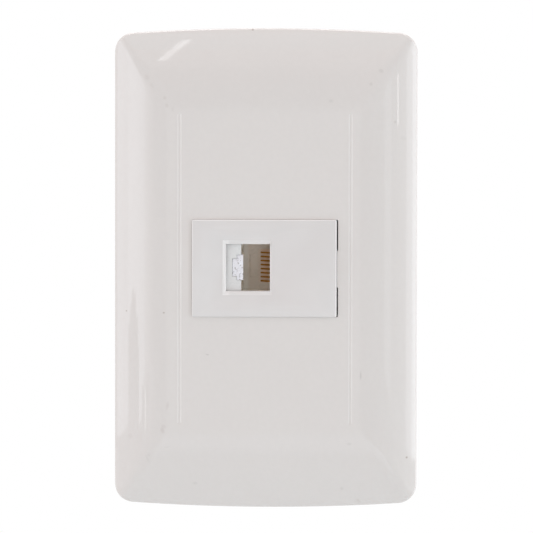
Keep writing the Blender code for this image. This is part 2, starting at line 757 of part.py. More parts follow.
def make_latch(side, parent):
    """The tongue's barb, which enters the frame's latch window."""
    wall = MODULE_WIDTH / 2
    tip = WINDOW_WIDTH / 2 + LATCH_ENTRY - side * MODULE_SHIFT
    outline = [
        (side * (wall - LET_IN), LATCH_Y - LATCH_DEPTH / 2),
        (side * tip, LATCH_Y - LATCH_DEPTH / 2),
        (side * tip, LATCH_Y - LATCH_DEPTH / 2 + LATCH_TIP),
        (side * (wall - LET_IN), LATCH_Y + LATCH_DEPTH / 2),
    ]
    reach = LATCH_WIDTH / 2
    return prism(f"latch_{side_name(side)}", outline, "Z", -reach, reach, parent)


def make_jack_shell(parent):
    half = JACK_HEIGHT / 2
    low, high = (JACK_LEFT, JACK_FRONT, -half), (JACK_RIGHT, JACK_BACK, half)
    shell = block("jack_shell", low, high, parent, JACK_PLASTIC)
    for z in (-PEG_Z, PEG_Z):
        at = (PEG_X, z)
        end = BOARD_FRONT + PEG_ENTRY
        join(shell, cylinder("board_peg", PEG_DIAMETER / 2, JACK_BACK - LET_IN, end, parent, at))

    floor = JACK_FRONT + CAVITY_DEPTH
    cavity_half = CAVITY_HEIGHT / 2
    relief_half = RELIEF_HEIGHT / 2
    pocket_half = COMB_HEIGHT / 2 + SEAT_GAP
    cut(
        shell,
        block(
            "plug_cavity",
            (CAVITY_LEFT, JACK_FRONT - PAST, -cavity_half),
            (CAVITY_RIGHT, floor, cavity_half),
            parent,
        ),
        block(
            "floor_relief",
            (RELIEF_LEFT, floor - LET_IN, -relief_half),
            (RELIEF_LEFT + RELIEF_WIDTH, floor + RELIEF_DEPTH, relief_half),
            parent,
        ),
        block(
            "contact_pocket",
            (CAVITY_RIGHT - LET_IN, JACK_FRONT + CONTACT_LIP, -pocket_half),
            (CARRIER_RIGHT + SEAT_GAP, JACK_BACK + PAST, pocket_half),
            parent,
        ),
        make_notch(parent),
        block(
            "insert_pocket",
            (
                CAVITY_LEFT - INSERT_WALL_REACH,
                JACK_FRONT + NOTCH_LIP,
                -INSERT_HEIGHT / 2 - SEAT_GAP,
            ),
            (
                CAVITY_LEFT + LET_IN,
                JACK_FRONT + NOTCH_LIP + INSERT_DEPTH + 2 * SEAT_GAP,
                INSERT_HEIGHT / 2 + SEAT_GAP,
            ),
            parent,
        ),
    )
    return shell


def make_notch(parent):
    """The stepped notch in the jack's front lip, which a plug's latch passes."""
    wide, deep = NOTCH_WIDE_HEIGHT / 2, NOTCH_DEEP_HEIGHT / 2
    step = CAVITY_LEFT - NOTCH_WIDE_REACH
    end = CAVITY_LEFT - NOTCH_DEEP_REACH
    open_side = CAVITY_LEFT + LET_IN
    outline = [
        (open_side, -wide),
        (open_side, wide),
        (step, wide),
        (step, deep),
        (end, deep),
        (end, -deep),
        (step, -deep),
        (step, -wide),
    ]
    back = JACK_FRONT + NOTCH_LIP + LET_IN
    return prism("latch_notch", outline, "Y", JACK_FRONT - PAST, back, parent)


def make_latch_insert(parent):
    """The clear block behind the notch, with a nose that stands into the cavity."""
    half, nose = INSERT_HEIGHT / 2, NOTCH_WIDE_HEIGHT / 2
    left = CAVITY_LEFT - INSERT_WALL_REACH + SEAT_GAP
    shoulder = CAVITY_LEFT - SEAT_GAP
    tip = CAVITY_LEFT + INSERT_NOSE
    outline = [
        (left, -half),
        (shoulder, -half),
        (shoulder, -nose),
        (tip, -nose),
        (tip, nose),
        (shoulder, nose),
        (shoulder, half),
        (left, half),
    ]
    front = JACK_FRONT + NOTCH_LIP + SEAT_GAP
    name = "latch_insert"
    return prism(name, outline, "Y", front, front + INSERT_DEPTH, parent, CLEAR_PLASTIC)


def contact_places():
    first = -(CONTACT_COUNT - 1) / 2
    return [(first + i) * CONTACT_PITCH for i in range(CONTACT_COUNT)]


def make_contact_carrier(parent):
    half = COMB_HEIGHT / 2
    left, bottom = CARRIER_LEFT, CARRIER_LEFT + GROOVE_IN_CARRIER
    groove = WIRE_DIAMETER / 2 + CLOSE_GAP
    outline = [(CARRIER_RIGHT, half), (CARRIER_RIGHT, -half), (left, -half)]
    for z in contact_places():
        outline += [(left, z - groove), (bottom, z - groove), (bottom, z + groove), (left, z + groove)]
    outline.append((left, half))
    front = JACK_BACK - CARRIER_DEPTH
    return prism("contact_carrier", outline, "Y", front, JACK_BACK, parent, CARRIER_PLASTIC)


def make_contact_wires(parent):
    """Each wire runs forward in its groove, turns back at the front and leans into the cavity."""
    bend_y = JACK_BACK - CARRIER_DEPTH + SEAT_GAP
    bend_centre = (WIRE_X - WIRE_BEND_RADIUS, bend_y)
    bend = arc(bend_centre, WIRE_BEND_RADIUS, 0, WIRE_LEAN - math.pi, BEND_STEPS)
    leaving_x, leaving_y = bend[-1]
    tip_y = leaving_y + (leaving_x - WIRE_TIP_X) / math.tan(WIRE_LEAN)
    path = [(WIRE_X, BOARD_BACK + WIRE_TAIL)] + bend + [(WIRE_TIP_X, tip_y)]
    curve = bpy.data.curves.new("contact_wire", "CURVE")
    curve.dimensions = "3D"
    curve.bevel_depth = WIRE_DIAMETER / 2
    curve.bevel_resolution = 2
    curve.use_fill_caps = True
    spline = curve.splines.new("POLY")
    spline.points.add(len(path) - 1)
    for point, (x, y) in zip(spline.points, path):
        point.co = (x, y, 0, 1)
    for number, z in enumerate(contact_places(), 1):
        name = f"contact_wire_{number}"
        data = curve.copy()
        wire = new_object(name, data, parent, new_material(name, GOLD, 0.3, 1.0))
        wire.location.z = z
    bpy.data.curves.remove(curve)


def terminal_places():
    first = -(TERMINAL_COUNT - 1) / 2
    return [(first + i) * TERMINAL_PITCH for i in range(TERMINAL_COUNT)]


def make_circuit_board(parent):
    outline = rounded_rectangle(
        2 * (INNER_HALF_WIDTH - SEAT_GAP), 2 * (INNER_HALF_HEIGHT - SEAT_GAP), MODULE_CORNER
    )
    board = prism("circuit_board", outline, "Y", BOARD_FRONT, BOARD_BACK, parent, BOARD_LAMINATE)
    wire_hole = WIRE_DIAMETER / 2 + CLOSE_GAP
    holes = [(OPENING_X + WIRE_X, JACK_RISE + z, wire_hole) for z in contact_places()]
    pin = math.hypot(PIN_WIDTH, BLADE_THICKNESS) / 2
    for z in (-BLOCK_Z, BLOCK_Z):
        holes += [(x, z, pin + HOLE_PLAY) for x in terminal_places()]
    for z in (-PEG_Z, PEG_Z):
        holes.append((OPENING_X + PEG_X, JACK_RISE + z, PEG_DIAMETER / 2 + SEAT_GAP))
    for x, z, radius in holes:
        low, high = BOARD_FRONT - PAST, BOARD_BACK + PAST
        cut(board, cylinder("board_hole", radius, low, high, parent, (x, z), TURN_STEPS // 2))
    return board


def make_idc_block(end, parent):
    """A row of terminals: each has a pocket for its blade and a slot that a wire is pushed into."""
    name = f"idc_block_{end_name(end)}"
    place = new_empty(name + "_place", (0, 0, end * BLOCK_Z), parent)
    half = BLOCK_HEIGHT / 2
    low, high = (-BLOCK_WIDTH / 2, BLOCK_FRONT, -half), (BLOCK_WIDTH / 2, BLOCK_BACK, half)
    body = block(name, low, high, place, new_material(name + " plastic", (0.66, 0.66, 0.64), 0.4))
    floor = BLOCK_FRONT + BLOCK_FLOOR
    pocket_x = BLADE_WIDTH / 2 + SEAT_GAP
    pocket_z = BLADE_THICKNESS / 2 + SEAT_GAP
    pin_x = PIN_WIDTH / 2 + SEAT_GAP
    for x in terminal_places():
        slot_front = BLOCK_BACK - WIRE_SLOT_DEPTH
        cut(
            body,
            block(
                "blade_pocket",
                (x - pocket_x, floor, -pocket_z),
                (x + pocket_x, BLOCK_BACK + PAST, pocket_z),
                place,
            ),
            block(
                "pin_hole",
                (x - pin_x, BLOCK_FRONT - PAST, -pocket_z + CLOSE_GAP),
                (x + pin_x, floor + LET_IN, pocket_z - CLOSE_GAP),
                place,
            ),
            block(
                "wire_slot",
                (x - WIRE_SLOT_WIDTH / 2, slot_front, -half - PAST),
                (x + WIRE_SLOT_WIDTH / 2, BLOCK_BACK + 2 * PAST, half + PAST),
                place,
            ),
        )
    return place


def make_idc_blades(places):
    """Flat forks, each with a pin through the board."""
    shoulder = BLOCK_FRONT + BLOCK_FLOOR + SEAT_GAP
    back = shoulder + BLADE_LENGTH
    pin_end = BOARD_FRONT - PIN_PAST_BOARD
    half, slit, pin, mouth = BLADE_WIDTH / 2, FORK_SLIT / 2, PIN_WIDTH / 2, FORK_MOUTH / 2
    right = [
        (pin, pin_end),
        (pin, shoulder),
        (half, shoulder),
        (half, back),
        (mouth, back),
        (slit, back - FORK_MOUTH),
        (slit, back - FORK_DEPTH),
    ]
    outline = right + [(-x, y) for x, y in reversed(right)]
    number = 0
    for place in places:
        for x in terminal_places():
            number += 1
            name = f"idc_blade_{number}"
            metal = new_material(name, TINNED, 0.35, 1.0)
            reach = BLADE_THICKNESS / 2
            blade = prism(name, outline, "Z", -reach, reach, place, metal)
            blade.location.x += x


def make_idc_cap(end, place):
    """A push-on cap whose skirt covers the ends of the block's teeth."""
    name = f"idc_cap_{end_name(end)}"
    skirt_front = BLOCK_BACK - CAP_SKIRT + SEAT_GAP
    inside = BLOCK_BACK + SEAT_GAP
    play = 2 * SEAT_GAP
    width, height = BLOCK_WIDTH + play, BLOCK_HEIGHT + play
    outer = rounded_rectangle(width + 2 * CAP_WALL, height + 2 * CAP_WALL, MODULE_CORNER)
    plastic = new_material(name + " plastic", (0.7, 0.72, 0.75), 0.25)
    cap = prism(name, outer, "Y", skirt_front, inside + CAP_WALL, place, plastic)
    cut(cap, prism("cap_hollow", rectangle(width, height), "Y", skirt_front - PAST, inside, place))
    return cap


def make_rear_cover(parent):
    front = MODULE_BACK + SEAT_GAP
    outline = rounded_rectangle(MODULE_WIDTH, MODULE_HEIGHT, MODULE_CORNER)
    name = "rear_cover"
    cover = prism(name, outline, "Y", front, front + REAR_PLATE, parent, REAR_PLASTIC)
    for z in (-BLOCK_Z, BLOCK_Z):
        window = rectangle(BLOCK_WIDTH + 2 * SEAT_GAP, BLOCK_HEIGHT + 2 * SEAT_GAP, (0, z))
        low, high = front - PAST, front + REAR_PLATE + PAST
        cut(cover, prism("block_window", window, "Y", low, high, parent))
    outer_x = INNER_HALF_WIDTH - SEAT_GAP
    outer_z = INNER_HALF_HEIGHT - SEAT_GAP
    for x in (-1, 1):
        for z in (-1, 1):
            xs = sorted((x * outer_x, x * (outer_x - POST_WIDTH)))
            zs = sorted((z * outer_z, z * (outer_z - POST_HEIGHT)))
            low = (xs[0], BOARD_BACK + SEAT_GAP, zs[0])
            high = (xs[1], front + LET_IN, zs[1])
            join(cover, block("board_post", low, high, parent))
    return cover


for old in list(bpy.data.objects):
    bpy.data.objects.remove(old)

PARTS = new_collection("telephone_wall_socket")
HELPERS = new_collection("cutters")

IVORY_WHITE = (0.71, 0.68, 0.66)
GOLD = (0.4, 0.18, 0.02)
TINNED = (0.72, 0.71, 0.68)

COVER_PLASTIC = new_material("glossy cover plastic", IVORY_WHITE, 0.18)
MODULE_PLASTIC = new_material("satin module plastic", (0.71, 0.68, 0.67), 0.35)
FRAME_PLASTIC = new_material("frame plastic", (0.66, 0.64, 0.61), 0.4)
JACK_PLASTIC = new_material("jack plastic", (0.81, 0.78, 0.73), 0.4)
CLEAR_PLASTIC = new_material("clear plastic", (0.86, 0.86, 0.9), 0.08, 0.0, 0.9)
CARRIER_PLASTIC = new_material("carrier plastic", (0.5, 0.47, 0.42), 0.45)
BOARD_LAMINATE = new_material("board laminate", (0.05, 0.22, 0.1), 0.4)
REAR_PLASTIC = new_material("rear plastic", (0.68, 0.66, 0.63), 0.4)

SOCKET = new_empty("wall_socket")
MODULE = new_empty("module", (MODULE_SHIFT, 0, MODULE_RISE), SOCKET)
JACK = new_empty("jack", (OPENING_X, 0, JACK_RISE), MODULE)

make_front_cover(SOCKET)
make_mounting_frame(SOCKET)
make_mounting_screw(1, SOCKET)
make_mounting_screw(-1, SOCKET)
make_module_housing(MODULE)
make_jack_shell(JACK)
make_latch_insert(JACK)
make_contact_carrier(JACK)
make_contact_wires(JACK)
make_circuit_board(MODULE)
TERMINAL_ROWS = [make_idc_block(1, MODULE), make_idc_block(-1, MODULE)]
make_idc_blades(TERMINAL_ROWS)
make_idc_cap(1, TERMINAL_ROWS[0])
make_idc_cap(-1, TERMINAL_ROWS[1])
make_rear_cover(MODULE)
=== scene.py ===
"""Looks of the telephone wall socket: the finish of each surface, finer meshes of its pieces, the floor, the
lamps and the camera. Lengths are in metres, in the part's own frame: the front faces -Y.
"""

import math
import random

import bmesh
import bpy
from mathutils import Matrix, Vector
from mathutils.geometry import delaunay_2d_cdt


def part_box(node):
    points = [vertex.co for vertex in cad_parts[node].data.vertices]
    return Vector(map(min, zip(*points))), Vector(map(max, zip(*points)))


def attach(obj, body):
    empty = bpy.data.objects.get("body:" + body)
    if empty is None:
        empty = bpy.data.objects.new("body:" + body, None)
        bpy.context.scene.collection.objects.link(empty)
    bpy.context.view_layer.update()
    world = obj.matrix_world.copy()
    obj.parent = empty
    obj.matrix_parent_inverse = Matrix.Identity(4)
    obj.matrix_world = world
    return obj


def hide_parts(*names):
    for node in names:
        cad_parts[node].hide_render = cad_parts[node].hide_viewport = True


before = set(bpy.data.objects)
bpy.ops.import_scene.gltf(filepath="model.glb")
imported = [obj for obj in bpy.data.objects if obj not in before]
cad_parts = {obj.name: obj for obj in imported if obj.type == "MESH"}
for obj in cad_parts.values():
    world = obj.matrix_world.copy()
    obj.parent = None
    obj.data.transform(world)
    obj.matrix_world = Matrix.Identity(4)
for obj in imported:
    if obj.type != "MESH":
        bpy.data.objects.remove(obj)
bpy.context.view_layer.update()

MM = 0.001

# Cover: outline, arcs of its flanges, and wall
COVER_LOW, COVER_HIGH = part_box("front_cover")
HALF_WIDTH = COVER_HIGH.x
HALF_HEIGHT = COVER_HIGH.z
COVER_FRONT = COVER_LOW.y
CORNER_RADIUS = 4.9 * MM
BOW_RADIUS = 480.0 * MM
BOW_Z = HALF_HEIGHT - BOW_RADIUS
CORNER_X = HALF_WIDTH - CORNER_RADIUS
CORNER_Z = BOW_Z + math.sqrt((BOW_RADIUS - CORNER_RADIUS) ** 2 - CORNER_X**2)
COVER_WALL = 2.0 * MM
FLANGE_DROP = 6.0 * MM
SIDE_FLANGE = 14.85 * MM
END_FLANGE = 21.5 * MM
FLAT_HALF_HEIGHT = HALF_HEIGHT - END_FLANGE
RIM_ROUND = 1.0 * MM
CREASE_BLEND = 1.0 * MM
CREASE_SHARE = 0.35

# Module: the sides of its box, and how far the cover's window stands off each
MODULE_LOW, MODULE_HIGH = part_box("rear_cover")
MODULE_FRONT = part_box("module_housing")[0].y
MODULE_CORNER = 0.3 * MM
TOP_PLAY = 0.02 * MM
BOTTOM_PLAY = 0.02 * MM
LEFT_PLAY = 0.04 * MM
RIGHT_PLAY = 0.34 * MM

# Cover: its window with the pad at the right, and its grooves
WINDOW_LEFT = MODULE_LOW.x - LEFT_PLAY
WINDOW_RIGHT = MODULE_HIGH.x + RIGHT_PLAY
WINDOW_LOW = MODULE_LOW.z - BOTTOM_PLAY
WINDOW_HIGH = MODULE_HIGH.z + TOP_PLAY
WINDOW_EDGE = 0.06 * MM
PAD_HALF_HEIGHT = 4.6 * MM
PAD_REACH = 0.25 * MM
GROOVE_X = 21.3 * MM
GROOVE_FLOOR = 0.2 * MM
GROOVE_REACH = 0.34 * MM
GROOVE_DEPTH = 0.1 * MM
GROOVE_RUN_OUT = 0.4 * MM

# Cover: what stands inside it
COLLAR_WALL = 1.2 * MM
COLLAR_BACK = -4.9 * MM
STIFFENER_X = 25.5 * MM
STIFFENER_HALF_WALL = 0.5 * MM
STIFFENER_BACK = -5.5 * MM
HOOK_INNER = 30.3 * MM
HOOK_OUTER = 31.5 * MM
HOOK_TIP = 29.3 * MM
HOOK_Z = 30.0 * MM
HOOK_HALF_WIDTH = 2.5 * MM
HOOK_FRONT = -1.1 * MM
HOOK_BACK = -0.3 * MM
HOOK_CHAMFER = 0.2 * MM

# How far joined pieces run into each other, and cutters past what they cut
LET_IN = 0.3 * MM
CUT_PAST = 1.0 * MM

# Fineness of the cover's mesh
FLANGE_STEPS = 34
INNER_FLANGE_STEPS = 16
OUTLINE_STEP = 1.0 * MM
ROUND_STEPS = 6
CORNER_STEPS = 3 * ROUND_STEPS
WINDOW_CORNER_STEPS = 3
FLAT_STEP = 3.0 * MM
GROOVE_STEPS = 4
GRID_ROOM = 0.2 * MM
WINDOW_ROOM = 0.5 * MM
FIRST_RIM_REACH = 0.4 * RIM_ROUND
SLOPE_TRIES = 3
SLOPE_STEP_MM = 0.1
INSIDE_OUTLINE = 1
TRIANGLE_TOLERANCE = 1e-7
MERGE_DISTANCE = 0.001 * MM
QUAD_BEND = math.radians(4.0)
QUAD_SKEW = math.radians(30.0)

# Where the mesh's lines cross the ends of the grooves, as shares of their run-out
RUN_OUT_SHARES = (1.0, 0.5, 0.15)

# Edges of the pieces inside, and the seal round the module
FLAT_ANGLE = math.radians(1.0)
EDGE_ANGLE = math.radians(38.0)
EDGE_SEGMENTS = 2
SEAL_REACH = 1.2 * MM
SEAL_PLAY = 0.02 * MM
SEAL_FRONT = -2.0 * MM
SEAL_BACK = -1.2 * MM

# Contact wires: section, bend, and the latitudes of the rings that round their ends
WIRE_RADIUS = 0.45 * MM / 2
WIRE_BEND_RADIUS = 0.75 * MM
WIRE_LEAN = math.radians(32.0)
WIRE_BEND_STEPS = 14
WIRE_SIDES = 20
WIRE_FLATNESS = 0.65
WIRE_END_LATITUDES = [math.radians(latitude) for latitude in (75, 50, 25)]

# Screws: shank, thread, head and cross recess
SCREW_SEAT = -3.3 * MM
SCREW_RADIUS = 2.0 * MM
SCREW_POINT_RADIUS = 1.0 * MM
SCREW_SIDES = 32
THREAD_PITCH = 0.7 * MM
THREAD_DEPTH = 0.43 * MM
THREAD_STEP = THREAD_PITCH / 8
THREAD_RUN_OUT = 1.4 * MM
THREAD_FLANK = 1.3
THREAD_CREST = 0.15
HEAD_RADIUS = 4.0 * MM
HEAD_ROUND = 0.2 * MM
HEAD_RIM = 1.0 * MM
HEAD_HEIGHT = 2.6 * MM
HEAD_STEPS = 12
CROSS_SPAN = 4.4 * MM
CROSS_WIDTH = 1.0 * MM
CROSS_DEPTH = 1.6 * MM
CROSS_FLOOR_SPAN = 2.4 * MM
CROSS_FLOOR_WIDTH = 0.7 * MM
CROSS_PAST = 0.3 * MM

# Clear piece: nose, steps of the notch that it fills, and facets of its front
INSERT_NOSE = 0.79 * MM
INSERT_SHOULDER = 0.1 * MM
INSERT_PLAY = 0.06 * MM
INSERT_FRONT = -7.85 * MM
INSERT_SEED = 7
NOTCH_WIDE_REACH = 1.61 * MM
NOTCH_WIDE_HEIGHT = 6.34 * MM
NOTCH_DEEP_REACH = 2.73 * MM
NOTCH_DEEP_HEIGHT = 4.48 * MM
FACET_COLUMNS = 3
FACET_SIZE = 0.8 * MM
FACET_DEPTH = 0.35 * MM

# Cover's look: its plastic, the painted highlights beside its grooves, and the painted shadow left of its
# window
COVER_COLOUR = (0.705, 0.668, 0.648)
COVER_ROUGHNESS = 0.02
GROOVE_HIGHLIGHT_OUTER = 0.5 * MM
GROOVE_HIGHLIGHT_STRENGTH = 0.28
# Painted shadow: the grey left of the window stands for the shade that the proud module casts there
MODULE_SHADOW_COLOUR = (0.45, 0.43, 0.4)
MODULE_SHADOW_REACH = 1.2 * MM
MODULE_SHADOW_STRENGTH = 0.35

# Module's look: its plastic, and how strong the painted highlights along its edges and the painted light on
# the bevels of its opening are
MODULE_COLOUR = (0.71, 0.68, 0.67)
# Colour of the painted highlights and painted light, on the module and beside the cover's grooves
HIGHLIGHT_COLOUR = (0.95, 0.92, 0.91)
EDGE_HIGHLIGHT_REACH = 0.3 * MM
LEFT_EDGE_HIGHLIGHT = 0.35
RIGHT_EDGE_HIGHLIGHT = 1.0
TOP_EDGE_HIGHLIGHT = 0.75
BEVEL_START = 0.05 * MM
BEVEL_PAINTED_LIGHT = (0.75, 0.3)
OPENING_LEFT = (-9.5 * MM, -8.5 * MM)

# Jack's look: its front and cavity, whose paler, warmer colour deeper in is painted light for the light
# bounced round inside, painted lighter still beside the clear piece, and between the contacts
JACK_COLOUR = (0.77, 0.765, 0.76)
JACK_FRONT = -7.7 * MM
JACK_FLOOR = -5.5 * MM
JACK_BOUNCE_LIGHT_COLOUR = (0.89, 0.82, 0.72)
BY_LATCH = (-5.3 * MM, -4.2 * MM)
BY_LATCH_LIGHT_COLOUR = (1.0, 0.98, 0.9)
BY_CONTACTS = (-2.6 * MM, -0.6 * MM)
BY_CONTACTS_COLOUR = (0.9, 0.68, 0.52)
CONTACTS_MIDDLE = 0.3 * MM
CONTACTS_ENDS = (3.8 * MM, 4.5 * MM)

# Clear piece's look, and its dark spot by x, z, width and height
# The clear piece's near-white colour is painted light for the light that shines through it
CLEAR_LIT_COLOUR = (0.95, 0.94, 0.99)
CLEAR_PATCH_COLOUR = (0.6, 0.58, 0.6)
CLEAR_SPOT = (-7.5 * MM, 0.15 * MM, 0.5 * MM, 0.9 * MM)
CLEAR_SPOT_COLOUR = (0.4, 0.36, 0.38)
CLEAR_SPOT_STRENGTH = 0.6

# Colours behind the cover, and the coarser grain of frame and rear cover
FRAME_COLOUR = (0.66, 0.64, 0.61)
REAR_COLOUR = (0.68, 0.66, 0.63)
TERMINAL_COLOUR = (0.66, 0.66, 0.64)
CAP_COLOUR = (0.7, 0.72, 0.75)
CARRIER_COLOUR = (0.48, 0.4, 0.3)
BOARD_COLOUR = (0.03, 0.2, 0.07)
TRACK_COLOUR = (0.07, 0.33, 0.1)
BLADE_COLOUR = (0.72, 0.71, 0.68)
BLADE_DULL_COLOUR = (0.55, 0.54, 0.5)
STEEL_COLOUR = (0.62, 0.62, 0.62)
STEEL_DULL_COLOUR = (0.5, 0.49, 0.45)
GOLD_COLOUR = (0.57, 0.26, 0.004)
GOLD_DULL_COLOUR = (0.5, 0.22, 0.004)
FRAME_GRAIN = 0.4 * MM
FRAME_GRAIN_DEPTH = 0.008 * MM

# Marks of use: their colours, how deep they reach, and the share of a mark's radius that is full
BROWN = (0.2, 0.12, 0.07)
SMUDGE = (0.36, 0.27, 0.26)
GREY = (0.42, 0.4, 0.38)
MARK_REACH = 20.0 * MM
MARK_CORE = 0.2

# Each mark: x, z, width and height in millimetres, turn in degrees, strength and colour
MARKS = (
    (-3.3, 59.6, 1.0, 0.8, 0, 0.5, BROWN),
    (35.4, -47.2, 0.8, 0.8, 0, 0.45, BROWN),
    (-25.5, -40.4, 1.4, 2.2, -20, 0.17, SMUDGE),
    (-25.2, -39.4, 1.9, 1.4, 30, 0.12, SMUDGE),
    (-24.3, -34.3, 1.1, 3.2, 10, 0.12, SMUDGE),
    (-24.4, -44.6, 2.0, 0.5, -10, 0.12, GREY),
    (-29.3, -47.6, 0.8, 3.4, -28, 0.12, GREY),
    (-33.8, -42.0, 1.8, 1.8, 0, 0.08, SMUDGE),
    (-14.3, -21.4, 1.3, 0.5, 10, 0.4, GREY),
    (23.9, -26.5, 0.7, 3.2, 0, 0.3, GREY),
    (-24.2, 8.2, 2.0, 3.0, 0, 0.06, GREY),
    (28.8, 49.3, 2.0, 1.4, 20, 0.2, GREY),
    (26.3, 46.0, 1.3, 1.3, 0, 0.2, GREY),
    (16.4, 41.8, 1.6, 1.2, 0, 0.16, GREY),
    (21.1, -43.6, 1.8, 1.0, 0, 0.2, GREY),
    (19.2, -55.0, 1.3, 1.3, 0, 0.2, GREY),
    (23.4, -58.2, 2.2, 1.0, 35, 0.12, BROWN),
    (-17.5, -53.8, 1.9, 1.1, 0, 0.18, GREY),
    (-29.0, -46.6, 1.2, 1.4, 0, 0.12, GREY),
    (-29.6, 47.6, 1.6, 2.2, -30, 0.07, BROWN),
    (-28.2, 45.6, 1.2, 2.4, -30, 0.05, BROWN),
    (-25.0, 42.5, 1.4, 1.4, 0, 0.09, BROWN),
    (-24.5, 40.6, 1.3, 1.5, 0, 0.08, BROWN),
    (-23.0, 39.6, 1.0, 1.8, 0, 0.05, BROWN),
    (-34.75, -10.7, 0.7, 0.6, 0, 0.4, BROWN),
    (-25.2, -11.0, 0.8, 0.6, 0, 0.4, BROWN),
    (32.3, 36.6, 1.1, 1.1, 0, 0.12, BROWN),
    (34.5, 32.6, 2.4, 1.8, 0, 0.1, GREY),
    # Not a mark of use: a wide faint grey that makes the front a little darker right of the window
    (20.5, 0.0, 7.0, 26.0, 0, 0.05, GREY),
)

# The photograph's camera: degrees off the plate's normal, distance, and how much the frame takes in
CAMERA_ABOVE = 2.1
CAMERA_RIGHT = 2.0
CAMERA_ROLL = 0.084
CAMERA_DISTANCE = 1.0
FRAME_WIDTH = 133.76 * MM
SENSOR_WIDTH = 36.0
AIM = Vector((0.115 * MM, -1.0 * MM, 0.305 * MM))

# Floor and background
FLOOR_Z = -1.05
FLOOR_RADIUS = 1.8
FLOOR_SIDES = 96
FLOOR_COLOUR = (0.8, 0.8, 0.8)
FLOOR_ROUGHNESS = 0.9
FLOOR_GLOW = 0.5
DOME_COLOUR = (1.0, 0.945, 0.931)
DOME_STRENGTH = 0.772

# Lamps: their colours, how far their planes stand off, and the watts of a square metre at a radiance of one
WHITE = (1.0, 1.0, 1.0)
COOL = (0.35, 0.85, 1.0)
DAYLIGHT = (1.0, 1.05, 1.12)
LAMP_REACH = 1.0
FRONT_LAMP_REACH = 1.6
WATTS_FOR_RADIANCE = 4.0

# Left lamp whose lower edge draws the dark wedge on the lower left flange: columns by near, far and low edge
WEDGE = (
    (0.405, 0.46, -0.068),
    (0.46, 0.52, -0.058),
    (0.52, 0.6, -0.052),
    (0.6, 0.68, -0.057),
    (0.68, 0.76, -0.072),
    (0.76, 0.8, -0.09),
)

# Lamps at the sides: side, nearest and furthest in front of the plate, lower and upper edge, radiance, colour
SIDE_LAMPS = (
    ("left_outer", -1, 0.02, 0.405, -0.119, 0.3, 0.96, DAYLIGHT),
    *[("left_middle", -1, near, far, low, 0.3, 1.35, DAYLIGHT) for near, far, low in WEDGE],
    ("left_inner", -1, 0.8, 0.94, -0.137, 0.3, 1.2, DAYLIGHT),
    ("left_second", -1, 0.94, 1.08, -0.121, 0.3, 1.15, DAYLIGHT),
    ("left_third", -1, 1.08, 1.32, -0.127, 0.3, 0.6, WHITE),
    ("left_line", -1, 1.08, 1.16, -0.155, -0.13, 1.6, WHITE),
    ("left_last", -1, 1.32, 1.65, -0.175, 0.3, 0.25, WHITE),
    ("left_low", -1, 0.0, 1.0, -0.8, -0.33, 0.5, COOL),
    ("left_top", -1, 0.0, 1.0, 0.3, 0.9, 0.5, DAYLIGHT),
    ("right_rim", 1, 0.0, 0.16, -0.13, 0.8, 2.2, DAYLIGHT),
    ("right_edge", 1, 0.16, 0.37, -0.13, 0.3, 0.95, DAYLIGHT),
    ("right_strip", 1, 0.94, 1.32, -0.13, 0.1, 0.42, DAYLIGHT),
    ("right_line", 1, 0.64, 0.69, 0.035, 0.065, 2.5, WHITE),
    ("right_low", 1, 0.2, 1.3, -0.8, -0.2, 0.9, COOL),
    ("rim_left", -1, -0.7, -0.02, -0.3, 0.3, 0.4, WHITE),
    ("rim_right", 1, -0.7, -0.02, -0.3, 0.3, 1.5, WHITE),
)
NOT_MIRRORED = ("left_low", "right_low")

# Lamps above: left and right edge, nearest and furthest in front of the plate, radiance and colour
TOP_LAMPS = (
    ("rim_top", -0.3, 0.3, -0.7, -0.02, 2.5, WHITE),
    ("top_front", -0.4, 0.4, 0.9, 1.5, 0.2, WHITE),
    ("top_middle", -0.4, 0.4, 0.5, 0.9, 0.3, COOL),
)

# Wide lamp that fades downwards: the lower edge, upper edge and radiance of its strips
FADE = (
    (-0.7, -0.4, 0.56),
    (-0.76, -0.7, 0.44),
    (-0.82, -0.76, 0.34),
    (-0.9, -0.82, 0.24),
    (-1.0, -0.9, 0.14),
    (-1.1, -1.0, 0.06),
)

# Lamps behind the camera: left and right edge, lower and upper edge, radiance and colour
FRONT_LAMPS = (
    ("front", -0.35, 0.1, -0.4, 0.15, 0.35, WHITE),
    *[("front_low", -0.4, 1.0, low, high, radiance, DAYLIGHT) for low, high, radiance in FADE],
)

# The thin lamp whose streak shows at the top left: the (x, y) of its two ends, and its height
STREAK_ENDS = ((-0.115, -1.15), (-0.08, -0.65))
STREAK_HEIGHT = 0.95
STREAK_WIDTH = 0.0048
STREAK_RADIANCE = 2.4


def new_object(name, data):
    """An object in the scene for a mesh, a lamp or a camera."""
    obj = bpy.data.objects.new(name, data)
    bpy.context.scene.collection.objects.link(obj)
    return obj


def add_mesh(name, shape):
    """An object with the mesh of a finished shape, which is freed."""
    mesh = bpy.data.meshes.new(name)
    shape.to_mesh(mesh)
    shape.free()
    return new_object(name, mesh)


def settle(obj):
    """Replaces an object's mesh with the one that its modifiers make."""
    graph = bpy.context.evaluated_depsgraph_get()
    mesh = bpy.data.meshes.new_from_object(obj.evaluated_get(graph))
    obj.modifiers.clear()
    obj.data = mesh


def combine(obj, operation, *tools):
    """Joins a mesh with others or cuts them out of it, and removes them."""
    for tool in tools:
        modifier = obj.modifiers.new(tool.name, "BOOLEAN")
        modifier.operation = operation
        modifier.solver = "EXACT"
        modifier.object = tool
    settle(obj)
    for tool in tools:
        bpy.data.objects.remove(tool)
    return obj


